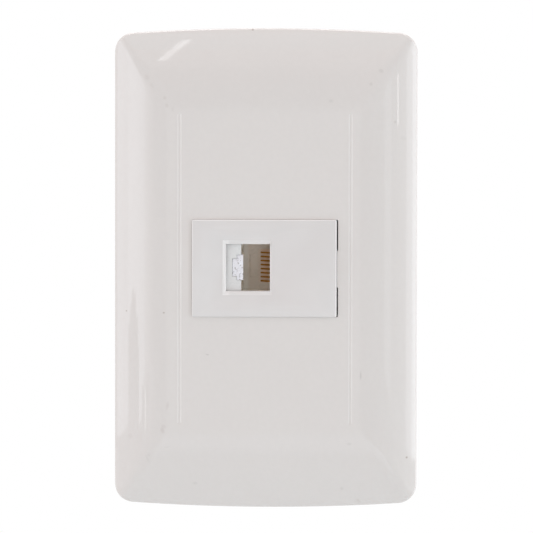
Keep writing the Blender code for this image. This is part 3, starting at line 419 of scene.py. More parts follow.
def finish_piece(obj, node, look):
    """Shades a piece, gives it its material, and puts it in the place of its CAD node."""
    obj.data.shade_smooth()
    obj.data.set_sharp_from_angle(angle=EDGE_ANGLE)
    obj.data.materials.clear()
    obj.data.materials.append(look.material)
    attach(obj, "root")
    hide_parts(node)


def block(name, low, high):
    """A box between two corners."""
    shape = bmesh.new()
    bmesh.ops.create_cube(shape, size=1.0)
    low, high = Vector(low), Vector(high)
    bmesh.ops.scale(shape, verts=shape.verts, vec=high - low)
    bmesh.ops.translate(shape, verts=shape.verts, vec=(low + high) / 2)
    return add_mesh(name, shape)


def prism_z(name, outline, low, high):
    """An outline in (x, y) extruded along Z."""
    shape = bmesh.new()
    bottom = shape.faces.new([shape.verts.new((x, y, low)) for x, y in outline])
    made = bmesh.ops.extrude_face_region(shape, geom=[bottom])
    top = [v for v in made["geom"] if isinstance(v, bmesh.types.BMVert)]
    bmesh.ops.translate(shape, verts=top, vec=(0, 0, high - low))
    bmesh.ops.recalc_face_normals(shape, faces=shape.faces)
    return add_mesh(name, shape)


def add_rows(shape, rows):
    """Faces between each closed row of points and the next."""
    made = [[shape.verts.new(p) for p in row] for row in rows]
    for low, high in zip(made, made[1:]):
        for i in range(len(low)):
            j = (i + 1) % len(low)
            shape.faces.new((low[i], low[j], high[j], high[i]))


def closed_rows(name, rows):
    """A solid from closed rows of points, with a flat face on the first row and on the last."""
    shape = bmesh.new()
    add_rows(shape, rows)
    shape.verts.ensure_lookup_table()
    count = len(rows[0])
    shape.faces.new([shape.verts[i] for i in range(count)])
    shape.faces.new([shape.verts[len(shape.verts) - count + i] for i in range(count)])
    bmesh.ops.recalc_face_normals(shape, faces=shape.faces)
    return add_mesh(name, shape)


def arc(centre, radius, start, end, steps):
    """Points along an arc in its plane, both ends among them."""
    angles = [start + (end - start) * i / steps for i in range(steps + 1)]
    return [(centre[0] + radius * math.cos(a), centre[1] + radius * math.sin(a)) for a in angles]


def flange_radius(flange):
    """The radius of an arc that leaves the flat front and has dropped by FLANGE_DROP at the rim."""
    return (flange**2 + FLANGE_DROP**2) / (2 * FLANGE_DROP)


def flange_drop(distance, half, flange, inset):
    """How far the cover's skin lies behind its flat front at a distance from the middle line."""
    radius = flange_radius(flange)
    past = max(0.0, abs(distance) - (half - flange))
    return radius - math.sqrt((radius - inset) ** 2 - past**2)


def groove_drop(x, z):
    """How deep the groove along a side of the front is: a flat floor, steep walls, and ends that run out."""
    across = abs(abs(x) - GROOVE_X)
    left = (FLAT_HALF_HEIGHT - abs(z)) / GROOVE_RUN_OUT
    if across >= GROOVE_REACH or left <= 0:
        return 0.0
    up_wall = max(0.0, (across - GROOVE_FLOOR) / (GROOVE_REACH - GROOVE_FLOOR))
    return GROOVE_DEPTH * (0.5 + 0.5 * math.cos(math.pi * up_wall)) * min(1.0, left) ** 0.5


def skin_y(x, z, inset=0.0):
    """The pillow shape: the deeper of the side's and the end's arc, blended where they meet in a crease."""
    side = flange_drop(x, HALF_WIDTH, SIDE_FLANGE, inset)
    end = flange_drop(z, HALF_HEIGHT, END_FLANGE, inset)
    blend = min(CREASE_BLEND, CREASE_SHARE * (side + end - 2 * inset))
    drop = max(side, end)
    if blend > 0 and not inset:
        share = min(1.0, max(0.0, 0.5 + 0.5 * (side - end) / blend))
        drop = end * (1 - share) + side * share + blend * share * (1 - share)
    if not inset:
        drop += groove_drop(x, z)
    return COVER_FRONT + drop


def plate_outline():
    """Points round the plate's outline in (x, z), each with its outward direction, anticlockwise."""
    meeting = math.atan2(CORNER_Z - BOW_Z, CORNER_X)
    side_steps = int(CORNER_Z / OUTLINE_STEP)
    bow_steps = int(CORNER_X / OUTLINE_STEP)
    quarter = []
    for i in range(side_steps):
        quarter.append(((HALF_WIDTH, CORNER_Z * i / side_steps), 0.0))
    for i in range(CORNER_STEPS):
        angle = meeting * i / CORNER_STEPS
        point = (CORNER_X + CORNER_RADIUS * math.cos(angle), CORNER_Z + CORNER_RADIUS * math.sin(angle))
        quarter.append((point, angle))
    for i in range(bow_steps):
        angle = meeting + (math.pi / 2 - meeting) * i / bow_steps
        quarter.append(((BOW_RADIUS * math.cos(angle), BOW_Z + BOW_RADIUS * math.sin(angle)), angle))
    top = ((0.0, HALF_HEIGHT), math.pi / 2)
    right = quarter + [top]
    left = [((-x, z), math.pi - a) for (x, z), a in reversed(quarter)]
    upper = right + left
    lower = [((x, -z), -a) for (x, z), a in reversed(upper[1:-1])]
    return [(Vector(p), Vector((math.cos(a), math.sin(a)))) for p, a in upper + lower]


def window_outline(grow=0.0):
    """The window in (x, z), less the pad at the middle of its right edge, grown outwards all round."""
    left, right = WINDOW_LEFT - grow, WINDOW_RIGHT + grow
    low, high = WINDOW_LOW - grow, WINDOW_HIGH + grow
    pad_x, pad_z = right - PAD_REACH, PAD_HALF_HEIGHT - grow
    radius = MODULE_CORNER + grow
    points = []
    for number, (x, z) in enumerate(((left, low), (right, low), (right, high), (left, high))):
        centre = (x + math.copysign(radius, -x), z + math.copysign(radius, -z))
        start = math.pi * (1 + number / 2)
        points += arc(centre, radius, start, start + math.pi / 2, WINDOW_CORNER_STEPS)
        if number == 1:
            points += [(right, -pad_z), (pad_x, -pad_z), (pad_x, pad_z), (right, pad_z)]
    return points


def inside_plate(point, room):
    """Whether a point in (x, z) lies inside the plate's outline by more than some room."""
    x, z = abs(point.x), abs(point.y)
    if x > CORNER_X and z > CORNER_Z:
        return math.hypot(x - CORNER_X, z - CORNER_Z) < CORNER_RADIUS - room
    return x < HALF_WIDTH - room and math.hypot(x, z - BOW_Z) < BOW_RADIUS - room


def within(point, outline):
    """Whether a point lies inside a closed outline."""
    inside = False
    for (ax, az), (bx, bz) in zip(outline, outline[1:] + outline[:1]):
        if (az > point.y) != (bz > point.y) and point.x < ax + (bx - ax) * (point.y - az) / (bz - az):
            inside = not inside
    return inside


def line_places(half, flange, steps, near_groove=False):
    """Where the mesh's lines run across one direction: evenly over the flat, and by slope over the flange."""
    flat = half - flange
    count = math.ceil(flat / FLAT_STEP)
    places = [flat * i / count for i in range(count)]
    places += [flat - GROOVE_RUN_OUT * share for share in RUN_OUT_SHARES]
    if near_groove:
        places = [p for p in places if abs(p - GROOVE_X) > 2 * GROOVE_REACH]
        # On the groove's floor, up its walls and past them
        wall = GROOVE_REACH - GROOVE_FLOOR
        reaches = [0.5 * GROOVE_FLOOR, 1.3 * GROOVE_REACH]
        reaches += [GROOVE_FLOOR + wall * i / GROOVE_STEPS for i in range(GROOVE_STEPS + 1)]
        places += [GROOVE_X + side * reach for reach in reaches for side in (-1, 1)]
    drop_radius = flange_radius(SIDE_FLANGE)
    steepest = math.acos(1 - FLANGE_DROP / drop_radius)
    radius = flange_radius(flange)
    for i in range(steps + 1):
        drop = drop_radius * (1 - math.cos(steepest * i / steps))
        places.append(flat + math.sqrt(2 * radius * drop - drop**2))
    return sorted({-p for p in places} | set(places))


def rim_rows(back):
    """Rows of points from the back edge up the cover's outer wall and over its rounded rim to the skin."""
    rows = [[] for _ in range(ROUND_STEPS + 2)]
    for place, outward in plate_outline():
        # The round ends where its slope is the skin's, which depends on how far in that is
        reach = FIRST_RIM_REACH
        for _ in range(SLOPE_TRIES):
            here = place - outward * reach
            ahead = here + outward * SLOPE_STEP_MM * MM
            rise = skin_y(ahead.x, ahead.y) - skin_y(here.x, here.y)
            slope = math.atan2(rise, SLOPE_STEP_MM * MM)
            reach = RIM_ROUND * (1 - math.sin(slope))
        here = place - outward * reach
        centre_y = skin_y(here.x, here.y) + RIM_ROUND * math.cos(slope)
        rows[0].append((place.x, back, place.y))
        for i in range(ROUND_STEPS + 1):
            angle = math.pi / 2 + (slope - math.pi / 2) * i / ROUND_STEPS
            at = place - outward * RIM_ROUND * (1 - math.sin(angle))
            rows[i + 1].append((at.x, centre_y - RIM_ROUND * math.cos(angle), at.y))
    return rows


def inner_wall_rows(inset, back):
    """Rows of points along the back edge and the skin of the cover's hollow, which lies inside by inset."""
    places = [place - outward * inset for place, outward in plate_outline()]
    return [
        [(place.x, back, place.y) for place in places],
        [(place.x, skin_y(place.x, place.y, inset), place.y) for place in places],
    ]


def window_rows(back):
    """Rows of points from the skin over the window's broken edge and back along its walls."""
    return [
        [(x, COVER_FRONT, z) for x, z in window_outline(WINDOW_EDGE)],
        [(x, COVER_FRONT + WINDOW_EDGE, z) for x, z in window_outline()],
        [(x, back, z) for x, z in window_outline()],
    ]


def add_sheet(shape, rings, inner_points, height):
    """Triangles that fill a closed outer ring, less the second ring if given, through the points between."""
    points, edges = [], []
    for ring in rings:
        first = len(points)
        points += [Vector((p[0], p[2])) for p in ring]
        edges += [(first + i, first + (i + 1) % len(ring)) for i in range(len(ring))]
    outer = list(range(len(rings[0])))
    hole = [(p[0], p[2]) for p in rings[1]] if len(rings) > 1 else []
    points += inner_points
    filled = delaunay_2d_cdt(points, edges, [outer], INSIDE_OUTLINE, TRIANGLE_TOLERANCE)
    out_points, triangles = filled[0], filled[2]
    made = [shape.verts.new((p.x, height(p.x, p.y), p.y)) for p in out_points]
    for triangle in triangles:
        middle = sum((out_points[i] for i in triangle), Vector((0, 0))) / 3
        if not within(middle, hole):
            shape.faces.new([made[i] for i in triangle])
    for vert in [v for v in made if not v.link_faces]:
        shape.verts.remove(vert)


def pillow(name, inset, back, steps):
    """A closed solid: with no inset the cover's outer shape and its window, and with one its hollow."""
    outer = not inset
    shape = bmesh.new()
    rims = rim_rows(back) if outer else inner_wall_rows(inset, back)
    add_rows(shape, rims)
    rings = [rims[-1]]
    back_rings = [rims[0]]
    if outer:
        windows = window_rows(back)
        add_rows(shape, windows)
        rings.append(windows[0])
        back_rings.append(windows[-1])
    edge_room = GRID_ROOM + (RIM_ROUND if outer else inset)
    near_window = window_outline(WINDOW_ROOM) if outer else []
    grid = []
    for x in line_places(HALF_WIDTH, SIDE_FLANGE, steps, near_groove=outer):
        for z in line_places(HALF_HEIGHT, END_FLANGE, steps):
            point = Vector((x, z))
            if inside_plate(point, edge_room) and not within(point, near_window):
                grid.append(point)
    add_sheet(shape, rings, grid, lambda x, z: skin_y(x, z, inset))
    add_sheet(shape, back_rings, [], lambda x, z: back)
    bmesh.ops.remove_doubles(shape, verts=shape.verts, dist=MERGE_DISTANCE)
    bmesh.ops.recalc_face_normals(shape, faces=shape.faces)
    bmesh.ops.join_triangles(
        shape,
        faces=shape.faces,
        angle_face_threshold=QUAD_BEND,
        angle_shape_threshold=QUAD_SKEW,
    )
    return add_mesh(name, shape)


def make_hook(side, end):
    """A hook inside the cover, whose tip reaches round the frame's edge."""
    root = skin_y(HOOK_INNER, 0.0, COVER_WALL) - LET_IN
    outline = [
        (side * HOOK_OUTER, root),
        (side * HOOK_OUTER, HOOK_BACK),
        (side * HOOK_INNER, HOOK_BACK),
        (side * HOOK_TIP, HOOK_FRONT + HOOK_CHAMFER),
        (side * HOOK_TIP, HOOK_FRONT),
        (side * HOOK_INNER, HOOK_FRONT),
        (side * HOOK_INNER, root),
    ]
    z = end * HOOK_Z
    return prism_z("hook", outline, z - HOOK_HALF_WIDTH, z + HOOK_HALF_WIDTH)


def make_cover(look):
    """The moulded cover: its hollow leaves the collar round the module, two stiffeners and four hooks."""
    inside = COVER_FRONT + COVER_WALL
    collar_low = (WINDOW_LEFT - COLLAR_WALL, inside - LET_IN, WINDOW_LOW - COLLAR_WALL)
    collar_high = (WINDOW_RIGHT + COLLAR_WALL, COLLAR_BACK, WINDOW_HIGH + COLLAR_WALL)
    tools = [block("collar", collar_low, collar_high)]
    for side in (-1, 1):
        x = side * STIFFENER_X
        low = (x - STIFFENER_HALF_WALL, inside - LET_IN, -FLAT_HALF_HEIGHT)
        high = (x + STIFFENER_HALF_WALL, STIFFENER_BACK, FLAT_HALF_HEIGHT)
        tools.append(block("stiffener", low, high))
        tools += [make_hook(side, end) for end in (-1, 1)]
    hollow = pillow("hollow", COVER_WALL, CUT_PAST, INNER_FLANGE_STEPS)
    combine(hollow, "DIFFERENCE", *tools)
    cover = pillow("front_cover_moulded", 0.0, 0.0, FLANGE_STEPS)
    combine(cover, "DIFFERENCE", hollow)
    finish_piece(cover, "front_cover", look)


def fill(node, inputs):
    """Sets a node's inputs to plain values, or links them to the outputs of other nodes."""
    for key, value in inputs.items():
        if isinstance(value, bpy.types.NodeSocket):
            node.id_data.links.new(value, node.inputs[key])
        else:
            node.inputs[key].default_value = value


def add_node(tree, kind, inputs, **settings):
    """A new node of a kind, with its settings and its inputs."""
    node = tree.nodes.new("ShaderNode" + kind)
    for key, value in settings.items():
        setattr(node, key, value)
    fill(node, inputs)
    return node


class Look:
    """A material being made: its nodes, its shader, and the place that its patterns read."""

    def __init__(self, name, colour, roughness, metallic=0.0, coat=0.0):
        self.material = bpy.data.materials.new(name)
        self.material.use_nodes = True
        self.tree = self.material.node_tree
        self.shader = self.tree.nodes["Principled BSDF"]
        self.colour = (*colour, 1.0)
        fill(self.shader, {"Base Color": self.colour, "Roughness": roughness})
        fill(self.shader, {"Metallic": metallic, "Coat Weight": coat})
        self.place = add_node(self.tree, "TexCoord", {}).outputs["Object"]
        self.normal = None

    def math(self, operation, *values):
        """What an operation gives for sockets or plain values."""
        return add_node(self.tree, "Math", dict(enumerate(values)), operation=operation).outputs[0]

    def product(self, first, *others):
        """All the values multiplied, in their order."""
        for other in others:
            first = self.math("MULTIPLY", first, other)
        return first

    def distance(self, value, place):
        """How far a value is from a place, to either side."""
        return self.math("ABSOLUTE", self.math("SUBTRACT", value, place))

    def axes(self):
        """The place's x, y and z."""
        return add_node(self.tree, "SeparateXYZ", {0: self.place}).outputs

    def spread(self, value, low=0.0, high=1.0, start=0.35, stop=0.65):
        """Maps a value that runs from start to stop onto low to high."""
        inputs = {"Value": value, "From Min": start, "From Max": stop, "To Min": low, "To Max": high}
        return add_node(self.tree, "MapRange", inputs, interpolation_type="SMOOTHSTEP").outputs["Result"]

    def noise(self, size, detail=2.0, stretch=(1.0, 1.0, 1.0)):
        """Cloudy noise whose blotches are about as wide as size, pulled out along the axes by stretch."""
        scale = [1.0 / (size * s) for s in stretch]
        place = add_node(self.tree, "Mapping", {"Vector": self.place, "Scale": scale}).outputs[0]
        inputs = {"Vector": place, "Scale": 1.0, "Detail": detail}
        return add_node(self.tree, "TexNoise", inputs).outputs["Fac"]

    def spot(self, x, z, width, height, turn=0.0):
        """A soft oval mark on the front: one in its middle and nothing outside it."""
        inputs = {
            "Vector": self.place,
            "Location": (x, COVER_FRONT, z),
            "Rotation": (0.0, math.radians(turn), 0.0),
            "Scale": (width / 2, MARK_REACH, height / 2),
        }
        place = add_node(self.tree, "Mapping", inputs, vector_type="TEXTURE").outputs[0]
        length = add_node(self.tree, "VectorMath", {0: place}, operation="LENGTH").outputs["Value"]
        return self.spread(length, low=1.0, high=0.0, start=MARK_CORE, stop=1.0)

    def tint(self, mask, colour):
        """Turns the base colour into another where the mask is one."""
        inputs = {"Factor": mask, "A": self.colour, "B": (*colour, 1.0)}
        self.colour = add_node(self.tree, "Mix", inputs, data_type="RGBA").outputs["Result"]
        fill(self.shader, {"Base Color": self.colour})

    def rough(self, value):
        """Lets a pattern set the roughness."""
        fill(self.shader, {"Roughness": value})

    def bump(self, height, depth):
        """Raises the surface by depth where the height is one."""
        inputs = {"Distance": depth, "Height": height}
        if self.normal:
            inputs["Normal"] = self.normal
        self.normal = add_node(self.tree, "Bump", inputs).outputs["Normal"]
        fill(self.shader, {"Normal": self.normal})


def scaled(colour, share):
    """A colour with each of its channels scaled."""
    return tuple(channel * share for channel in colour)


def moulded_look(name, colour, roughness, grain=0.25 * MM, depth=0.004 * MM, coat=0.0):
    """Moulded plastic: faint clouds in its colour, a fine grain, and a gloss that varies a little."""
    look = Look(name, colour, roughness, coat=coat)
    clouds = look.spread(look.noise(9 * MM, detail=3.0), low=0.0, high=0.6)
    look.tint(clouds, scaled(colour, 0.97))
    look.rough(look.spread(look.noise(3 * MM), low=roughness * 0.85, high=roughness * 1.2))
    look.bump(look.noise(grain), depth)
    return look


def metal_look(name, colour, dull_colour, roughness, stretch):
    """Drawn or plated metal: fine lines along it, and duller patches."""
    look = Look(name, colour, roughness, metallic=1.0)
    patches = look.spread(look.noise(0.8 * MM, detail=3.0), low=0.0, high=0.5)
    look.tint(patches, dull_colour)
    lines = look.noise(0.12 * MM, stretch=stretch)
    look.rough(look.spread(lines, low=roughness * 0.7, high=roughness * 1.4))
    look.bump(look.noise(0.1 * MM, stretch=stretch), 0.003 * MM)
    return look


def cover_look():
    """Glossy white plastic, faintly wavy, with the marks of use on its front, painted highlights beside its
    grooves, and a painted shadow left of its window.
    """
    look = Look("cover plastic", COVER_COLOUR, COVER_ROUGHNESS)
    clouds = look.spread(look.noise(14 * MM, detail=4.0), low=0.0, high=0.5)
    look.tint(clouds, scaled(COVER_COLOUR, 0.985))
    blotches = look.spread(look.noise(1.2 * MM, detail=4.0), low=0.0, high=0.35)
    look.tint(blotches, scaled(COVER_COLOUR, 0.97))
    for x, z, width, height, turn, strength, colour in MARKS:
        mask = look.spot(x * MM, z * MM, width * MM, height * MM, turn)
        look.tint(look.product(mask, strength), colour)
    # Painted highlights beside the grooves
    add_painted_groove_highlights(look)
    # A painted shadow left of the window, where the module casts its shade
    add_painted_module_shadow(look)
    gloss = look.noise(5 * MM, detail=3.0)
    look.rough(look.spread(gloss, low=COVER_ROUGHNESS * 0.8, high=COVER_ROUGHNESS * 1.3))
    look.bump(look.noise(2.5 * MM, detail=1.0), 0.0008 * MM)
    look.bump(look.noise(0.3 * MM), 0.00005 * MM)
    return look


def add_painted_groove_highlights(look):
    """A painted highlight: a paler line along each side of the cover's grooves, where their edges catch the
    light.
    """
    x, _, z = look.axes()
    off_groove = look.distance(look.math("ABSOLUTE", x), GROOVE_X)
    past_floor = look.math("GREATER_THAN", off_groove, GROOVE_FLOOR)
    in_highlight = look.math("LESS_THAN", off_groove, GROOVE_HIGHLIGHT_OUTER)
    in_length = look.math("LESS_THAN", look.math("ABSOLUTE", z), FLAT_HALF_HEIGHT)
    look.tint(look.product(past_floor, GROOVE_HIGHLIGHT_STRENGTH, in_highlight, in_length), HIGHLIGHT_COLOUR)


def add_painted_module_shadow(look):
    """Painted shadow: grey on the front along the left edge of the window, where the module that stands proud
    casts its shade.
    """
    x, _, z = look.axes()
    beside = look.spread(x, start=WINDOW_LEFT - MODULE_SHADOW_REACH, stop=WINDOW_LEFT)
    left_of = look.math("LESS_THAN", x, WINDOW_LEFT + WINDOW_EDGE)
    level = look.distance(z, (WINDOW_LOW + WINDOW_HIGH) / 2)
    end = (WINDOW_HIGH - WINDOW_LOW) / 2
    along = look.spread(level, low=1.0, high=0.0, start=end - MODULE_SHADOW_REACH, stop=end + MODULE_SHADOW_REACH / 2)
    look.tint(look.product(beside, left_of, along, MODULE_SHADOW_STRENGTH), MODULE_SHADOW_COLOUR)


def module_look():
    """Satin plastic, with painted highlights that make its edges paler, and painted light that makes the
    bevels and shaded walls of its opening paler.
    """
    look = moulded_look("module plastic", MODULE_COLOUR, roughness=0.22)
    x, depth, z = look.axes()
    # Painted highlights along the left, right and top edges
    for value, edge, way, strength in (
        (x, MODULE_LOW.x, -1, LEFT_EDGE_HIGHLIGHT),
        (x, MODULE_HIGH.x, 1, RIGHT_EDGE_HIGHLIGHT),
        (z, MODULE_HIGH.z, 1, TOP_EDGE_HIGHLIGHT),
    ):
        past = look.product(look.math("SUBTRACT", value, edge), way)
        highlight = look.spread(past, low=0.0, high=strength, start=-EDGE_HIGHLIGHT_REACH, stop=-EDGE_HIGHLIGHT_REACH / 2)
        look.tint(highlight, HIGHLIGHT_COLOUR)
    # Painted light on the bevels and walls of the opening, which lie in shade
    inside = look.math("LESS_THAN", look.math("ABSOLUTE", x), MODULE_HIGH.x - 2 * EDGE_HIGHLIGHT_REACH)
    sunk = look.math("GREATER_THAN", depth, MODULE_FRONT + BEVEL_START)
    bevel_light = look.spread(x, *BEVEL_PAINTED_LIGHT, *OPENING_LEFT)
    look.tint(look.product(inside, sunk, bevel_light), HIGHLIGHT_COLOUR)
    return look


def jack_look():
    """Satin plastic, neutral at the jack's front, paler and warmer in its cavity as painted light for the
    light bounced round inside it, painted lighter beside the clear piece, and warmest between the contacts.
    """
    look = moulded_look("jack plastic", JACK_COLOUR, roughness=0.3)
    x, depth, z = look.axes()
    # Painted light: deeper in the cavity the colour turns paler and warmer, for the light bounced round
    # inside it
    inside = look.spread(depth, start=JACK_FRONT, stop=JACK_FLOOR)
    look.tint(inside, JACK_BOUNCE_LIGHT_COLOUR)
    # Painted light: paler still beside the clear piece, where the cavity's side lies in shade
    by_latch = look.spread(x, 1.0, 0.0, *BY_LATCH)
    look.tint(look.product(inside, by_latch), BY_LATCH_LIGHT_COLOUR)
    across = look.spread(x, 0.0, 1.0, *BY_CONTACTS)
    along = look.spread(look.distance(z, CONTACTS_MIDDLE), 1.0, 0.0, *CONTACTS_ENDS)
    look.tint(look.product(inside, look.product(across, along)), BY_CONTACTS_COLOUR)
    return look


def clear_look():
    """Clear plastic whose near-white colour is painted light for the light inside it, and grey in small
    patches.
    """
    look = Look("clear plastic", CLEAR_LIT_COLOUR, roughness=0.08, coat=1.0)
    fill(look.shader, {"IOR": 1.49, "Transmission Weight": 0.15})
    patches = look.spread(look.noise(0.55 * MM, detail=1.0), start=0.56, stop=0.66)
    look.tint(patches, CLEAR_PATCH_COLOUR)
    look.tint(look.product(look.spot(*CLEAR_SPOT), CLEAR_SPOT_STRENGTH), CLEAR_SPOT_COLOUR)
    look.rough(look.spread(look.noise(0.5 * MM), low=0.05, high=0.15))
    return look


def board_look():
    """Green lacquer over copper tracks and the weave of the laminate."""
    look = Look("board laminate", BOARD_COLOUR, roughness=0.28, coat=0.4)
    turned = {"Vector": look.place, "Rotation": (math.radians(90), 0.0, 0.0)}
    sizes = {"Scale": 1.0, "Brick Width": 6.0 * MM, "Row Height": 1.3 * MM}
    gaps = {"Mortar Size": 0.22 * MM, "Mortar Smooth": 0.2}
    place = add_node(look.tree, "Mapping", turned).outputs[0]
    tracks = add_node(look.tree, "TexBrick", {"Vector": place, **sizes, **gaps}, offset=0.5).outputs["Fac"]
    look.tint(tracks, TRACK_COLOUR)
    look.bump(tracks, 0.03 * MM)
    look.bump(look.noise(0.5 * MM, stretch=(3.0, 1.0, 0.4)), 0.006 * MM)
    return look


def finer(node, look, edge=0.0, extra=None):
    """A copy of a CAD piece whose edges are rounded as a mould or a die leaves them, which stands for it."""
    shape = bmesh.new()
    shape.from_mesh(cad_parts[node].data)
    bmesh.ops.remove_doubles(shape, verts=shape.verts, dist=MERGE_DISTANCE)
    bmesh.ops.dissolve_limit(shape, angle_limit=FLAT_ANGLE, verts=shape.verts, edges=shape.edges)
    obj = add_mesh(node + "_finished", shape)
    if edge:
        rounding = obj.modifiers.new("rounded edges", "BEVEL")
        rounding.width = edge
        rounding.segments = EDGE_SEGMENTS
        rounding.limit_method = "ANGLE"
        rounding.angle_limit = EDGE_ANGLE
        settle(obj)
    if extra:
        combine(obj, "UNION", extra)
    finish_piece(obj, node, look)


def seal_corners(grow, past):
    """The corners of a box round the module's sides, and past the seal's front and back."""
    low = (MODULE_LOW.x - grow, SEAL_FRONT - past, MODULE_LOW.z - grow)
    high = (MODULE_HIGH.x + grow, SEAL_BACK + past, MODULE_HIGH.z + grow)
    return low, high


def make_light_seal():
    """A thin lip round the bay, which closes the gap beside the module's sides."""
    outer = block("seal", *seal_corners(SEAL_REACH, 0.0))
    inner = block("seal_inside", *seal_corners(SEAL_PLAY, CUT_PAST))
    return combine(outer, "DIFFERENCE", inner)


def flattened(share):
    """A sine or cosine moved outwards, which gives a circle four flatter sides."""
    return math.copysign(abs(share) ** WIRE_FLATNESS, share)


def wire_ring(centre, along, latitude):
    """A ring of the wire's section, as small as its latitude on the wire's rounded end says."""
    across = along.cross(Vector((0, 0, 1))) * WIRE_RADIUS * math.cos(latitude)
    up = Vector((0, 0, WIRE_RADIUS * math.cos(latitude)))
    middle = centre + along * WIRE_RADIUS * math.sin(latitude)
    turns = [2 * math.pi * i / WIRE_SIDES for i in range(WIRE_SIDES)]
    return [middle + across * flattened(math.cos(turn)) + up * flattened(math.sin(turn)) for turn in turns]


def make_contact_wire(number, look):
    """A gilt spring wire: straight in its groove, turned back at the front and leaning into the cavity."""
    node = f"contact_wire_{number}"
    low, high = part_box(node)
    x, z = high.x - WIRE_RADIUS, (low.z + high.z) / 2
    bend_y = low.y + WIRE_RADIUS + WIRE_BEND_RADIUS
    path = [(x, high.y - WIRE_RADIUS), (x, (high.y + bend_y) / 2)]
    path += arc((x - WIRE_BEND_RADIUS, bend_y), WIRE_BEND_RADIUS, 0, WIRE_LEAN - math.pi, WIRE_BEND_STEPS)
    leaving_x, leaving_y = path[-1]
    tip_x = low.x + WIRE_RADIUS
    path.append((tip_x, leaving_y + (leaving_x - tip_x) / math.tan(WIRE_LEAN)))
    points = [Vector((px, py, z)) for px, py in path]
    rows = []
    last = len(points) - 1
    for i, point in enumerate(points):
        along = (points[min(i + 1, last)] - points[max(i - 1, 0)]).normalized()
        if i == 0:
            rows += [wire_ring(point, along, -latitude) for latitude in WIRE_END_LATITUDES]
        rows.append(wire_ring(point, along, 0.0))
        if i == last:
            rows += [wire_ring(point, along, latitude) for latitude in reversed(WIRE_END_LATITUDES)]
    finish_piece(closed_rows(node + "_drawn", rows), node, look)


def screw_ring(y, radius, threaded, middle):
    """A ring of points round a screw, drawn in where its thread's groove runs if it is threaded there."""
    ring = []
    for i in range(SCREW_SIDES):
        reach = radius
        if threaded:
            turn = (y / THREAD_PITCH - i / SCREW_SIDES) % 1.0
            reach -= THREAD_DEPTH * min(1.0, max(0.0, THREAD_FLANK * abs(2 * turn - 1) - THREAD_CREST))
        angle = 2 * math.pi * i / SCREW_SIDES
        ring.append((reach * math.cos(angle), y, middle + reach * math.sin(angle)))
    return ring


def cross_wing(top, middle, along_x):
    """One of the two tapered slots of a cross recess."""
    rows = []
    for y, length, width in (
        (top - CROSS_PAST, CROSS_SPAN / 2 + CROSS_PAST, CROSS_WIDTH / 2),
        (top + CROSS_DEPTH, CROSS_FLOOR_SPAN / 2, CROSS_FLOOR_WIDTH / 2),
    ):
        x, z = (length, width) if along_x else (width, length)
        rows.append([(x, y, middle + z), (-x, y, middle + z), (-x, y, middle - z), (x, y, middle - z)])
    return closed_rows("cross_wing", rows)


def make_screw(end, look):
    """A pan head machine screw with its rolled thread and its cross recess."""
    node = f"mounting_screw_{end}"
    low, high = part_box(node)
    middle = (low.z + high.z) / 2
    rings = [(high.y, SCREW_POINT_RADIUS, False)]
    for i in range(int((high.y - SCREW_SEAT - THREAD_RUN_OUT) / THREAD_STEP)):
        y = high.y - (i + 1) * THREAD_STEP
        rings.append((y, min(SCREW_RADIUS, SCREW_POINT_RADIUS + high.y - y), True))
    rings += [(SCREW_SEAT, SCREW_RADIUS, False), (SCREW_SEAT, HEAD_RADIUS - HEAD_ROUND, False)]
    rings += [(SCREW_SEAT - HEAD_ROUND, HEAD_RADIUS, False), (SCREW_SEAT - HEAD_RIM, HEAD_RADIUS, False)]
    dome = HEAD_HEIGHT - HEAD_RIM
    dome_radius = (HEAD_RADIUS**2 + dome**2) / (2 * dome)
    top = SCREW_SEAT - HEAD_HEIGHT
    for i in range(1, HEAD_STEPS):
        radius = HEAD_RADIUS * (1 - i / HEAD_STEPS)
        rings.append((top + dome_radius - math.sqrt(dome_radius**2 - radius**2), radius, False))
    screw = closed_rows(node + "_rolled", [screw_ring(*ring, middle) for ring in rings])
    combine(screw, "DIFFERENCE", *[cross_wing(top, middle, along_x) for along_x in (True, False)])
    finish_piece(screw, node, look)


def facetted_block(chance, left, right, back, middle, half):
    """A block whose front is a field of small flat facets at uneven heights."""
    columns, levels = FACET_COLUMNS, round(2 * half / FACET_SIZE)
    shape = bmesh.new()
    front, behind = [], []
    for i in range(columns + 1):
        for j in range(levels + 1):
            x = left + (right - left) * i / columns
            z = middle - half + 2 * half * j / levels
            y = INSERT_FRONT + chance.uniform(0.0, FACET_DEPTH)
            front.append(shape.verts.new((x, y, z)))
            behind.append(shape.verts.new((x, back, z)))
    row = levels + 1
    for i in range(columns):
        for j in range(levels):
            a, b, c, d = i * row + j, i * row + j + 1, (i + 1) * row + j + 1, (i + 1) * row + j
            shape.faces.new((front[a], front[b], front[c]))
            shape.faces.new((front[a], front[c], front[d]))
            shape.faces.new((behind[d], behind[c], behind[b], behind[a]))
    rim = [(j, j + 1) for j in range(levels)]
    rim += [(i * row + levels, (i + 1) * row + levels) for i in range(columns)]
    rim += [(columns * row + j + 1, columns * row + j) for j in reversed(range(levels))]
    rim += [((i + 1) * row, i * row) for i in reversed(range(columns))]
    for a, b in rim:
        shape.faces.new((front[a], behind[a], behind[b], front[b]))
    bmesh.ops.recalc_face_normals(shape, faces=shape.faces)
    return add_mesh("facets", shape)


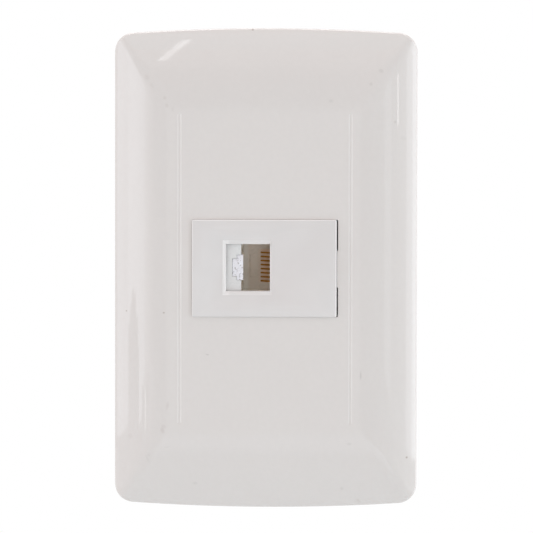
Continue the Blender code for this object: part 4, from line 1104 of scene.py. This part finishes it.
def make_latch_insert(look):
    """The clear block: its front stands into the stepped notch, and is broken into small facets."""
    low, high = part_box("latch_insert")
    middle = (low.z + high.z) / 2
    body = block("insert_body", low, (high.x - INSERT_NOSE, high.y, high.z))
    nose_low = (low.x + INSERT_NOSE, low.y, middle - NOTCH_WIDE_HEIGHT / 2)
    nose_high = (high.x, high.y - INSERT_SHOULDER, middle + NOTCH_WIDE_HEIGHT / 2)
    tools = [block("insert_nose", nose_low, nose_high)]
    chance = random.Random(INSERT_SEED)
    for reach, height in ((NOTCH_WIDE_REACH, NOTCH_WIDE_HEIGHT), (NOTCH_DEEP_REACH, NOTCH_DEEP_HEIGHT)):
        left = high.x - reach + INSERT_PLAY
        half = height / 2 - INSERT_PLAY
        tools.append(facetted_block(chance, left, high.x, low.y + LET_IN, middle, half))
    combine(body, "UNION", *tools)
    body.name = "latch_insert_clear"
    finish_piece(body, "latch_insert", look)


def make_inner_pieces():
    """The pieces behind the cover, each with the finish of its own material."""
    frame_plastic = moulded_look("frame plastic", FRAME_COLOUR, 0.35, FRAME_GRAIN, FRAME_GRAIN_DEPTH)
    rear_plastic = moulded_look("rear plastic", REAR_COLOUR, 0.35, FRAME_GRAIN, FRAME_GRAIN_DEPTH)
    terminal_plastic = moulded_look("terminal plastic", TERMINAL_COLOUR, roughness=0.3)
    cap_plastic = moulded_look("cap plastic", CAP_COLOUR, roughness=0.18, coat=0.3)
    carrier_plastic = moulded_look("carrier plastic", CARRIER_COLOUR, roughness=0.4)
    blade_metal = metal_look("blade metal", BLADE_COLOUR, BLADE_DULL_COLOUR, 0.25, (1.0, 12.0, 1.0))
    screw_steel = metal_look("screw steel", STEEL_COLOUR, STEEL_DULL_COLOUR, 0.3, (1.0, 1.0, 1.0))
    gold = metal_look("contact gold", GOLD_COLOUR, GOLD_DULL_COLOUR, 0.3, (6.0, 6.0, 1.0))
    finer("mounting_frame", frame_plastic, edge=0.2 * MM, extra=make_light_seal())
    finer("module_housing", module_look())
    finer("jack_shell", jack_look(), edge=0.06 * MM)
    finer("contact_carrier", carrier_plastic, edge=0.04 * MM)
    finer("circuit_board", board_look())
    finer("rear_cover", rear_plastic, edge=0.15 * MM)
    for end in ("upper", "lower"):
        finer(f"idc_block_{end}", terminal_plastic, edge=0.06 * MM)
        finer(f"idc_cap_{end}", cap_plastic, edge=0.12 * MM)
        make_screw(end, screw_steel)
    for number in range(1, 9):
        finer(f"idc_blade_{number}", blade_metal, edge=0.04 * MM)
        make_contact_wire(number, gold)
    make_latch_insert(clear_look())


def seen_rays(tree):
    """One for the rays that show a background: from the camera, from a gloss, and through glass."""
    path = add_node(tree, "LightPath", {}).outputs
    shown = path["Is Camera Ray"]
    for name in ("Is Glossy Ray", "Is Transmission Ray"):
        shown = add_node(tree, "Math", {0: shown, 1: path[name]}, operation="MAXIMUM").outputs[0]
    return shown


def make_world():
    """Even light from all round, behind which the rays that show a background see plain white."""
    world = bpy.data.worlds.new("studio")
    bpy.context.scene.world = world
    world.use_nodes = True
    tree = world.node_tree
    tree.nodes.clear()
    dome = add_node(tree, "Background", {"Color": (*DOME_COLOUR, 1.0), "Strength": DOME_STRENGTH})
    backdrop = add_node(tree, "Background", {"Color": (*WHITE, 1.0), "Strength": 1.0})
    mix = add_node(tree, "MixShader", {0: seen_rays(tree), 1: dome.outputs[0], 2: backdrop.outputs[0]})
    add_node(tree, "OutputWorld", {"Surface": mix.outputs[0]})


def make_floor():
    """A plain white disc below everything, which shows white and keeps the shadows that fall on it."""
    shape = bmesh.new()
    bmesh.ops.create_circle(shape, cap_ends=True, radius=FLOOR_RADIUS, segments=FLOOR_SIDES)
    bmesh.ops.translate(shape, verts=shape.verts, vec=(0, 0, FLOOR_Z))
    floor = add_mesh("floor", shape)
    look = Look("floor", FLOOR_COLOUR, FLOOR_ROUGHNESS)
    glow = look.product(seen_rays(look.tree), FLOOR_GLOW)
    fill(look.shader, {"Emission Color": (*WHITE, 1.0), "Emission Strength": glow})
    floor.data.materials.append(look.material)


def softbox(name, middle, towards, width, height, radiance, colour):
    """A flat lamp, as bright as its radiance says, where 1 is as bright as white paper in plain light."""
    data = bpy.data.lights.new(name, "AREA")
    data.shape = "RECTANGLE"
    data.color = colour
    data.size = width
    data.size_y = height
    data.energy = WATTS_FOR_RADIANCE * radiance * width * height
    lamp = new_object(name, data)
    lamp.location = middle
    lamp.rotation_euler = (towards - middle).to_track_quat("-Z", "Y").to_euler()
    return lamp


def make_streak():
    """A long thin lamp that lies level above the plate, a little askew."""
    near, far = STREAK_ENDS
    middle = Vector(((near[0] + far[0]) / 2, (near[1] + far[1]) / 2, STREAK_HEIGHT))
    below = middle * Vector((1, 1, 0))
    streak = softbox("streak", middle, below, STREAK_WIDTH, math.dist(near, far), STREAK_RADIANCE, WHITE)
    streak.rotation_euler = (0.0, 0.0, math.atan2(near[0] - far[0], far[1] - near[1]))


def make_lamps():
    """Softboxes side by side on planes at the sides, above and behind the camera, and the streak's lamp."""
    for name, side, near, far, low, high, radiance, colour in SIDE_LAMPS:
        middle = Vector((side * LAMP_REACH, -(near + far) / 2, (low + high) / 2))
        lamp = softbox(name, middle, middle * Vector((0, 1, 1)), far - near, high - low, radiance, colour)
        lamp.visible_glossy = name not in NOT_MIRRORED
    for name, left, right, near, far, radiance, colour in TOP_LAMPS:
        middle = Vector(((left + right) / 2, -(near + far) / 2, LAMP_REACH))
        softbox(name, middle, middle * Vector((1, 1, 0)), right - left, far - near, radiance, colour)
    for name, left, right, low, high, radiance, colour in FRONT_LAMPS:
        middle = Vector(((left + right) / 2, -FRONT_LAMP_REACH, (low + high) / 2))
        softbox(name, middle, middle * Vector((1, 0, 1)), right - left, high - low, radiance, colour)
    make_streak()


def make_camera():
    """The photograph's camera, which looks at AIM from a little above and to the right."""
    data = bpy.data.cameras.new("camera")
    data.sensor_width = SENSOR_WIDTH
    data.lens = SENSOR_WIDTH * CAMERA_DISTANCE / FRAME_WIDTH
    camera = new_object("camera", data)
    right, above = math.radians(CAMERA_RIGHT), math.radians(CAMERA_ABOVE)
    back = Vector((math.sin(right) * math.cos(above), -math.cos(right) * math.cos(above), math.sin(above)))
    camera.location = AIM + back * CAMERA_DISTANCE
    across = Vector((0, 0, 1)).cross(back).normalized()
    upright = Matrix((across, back.cross(across), back)).transposed()
    turned = upright @ Matrix.Rotation(math.radians(CAMERA_ROLL), 3, "Z")
    camera.rotation_euler = turned.to_euler()
    bpy.context.scene.camera = camera


make_world()
make_camera()
make_lamps()
make_floor()
make_cover(cover_look())
make_inner_pieces()

bpy.context.scene.view_settings.view_transform = "Standard"
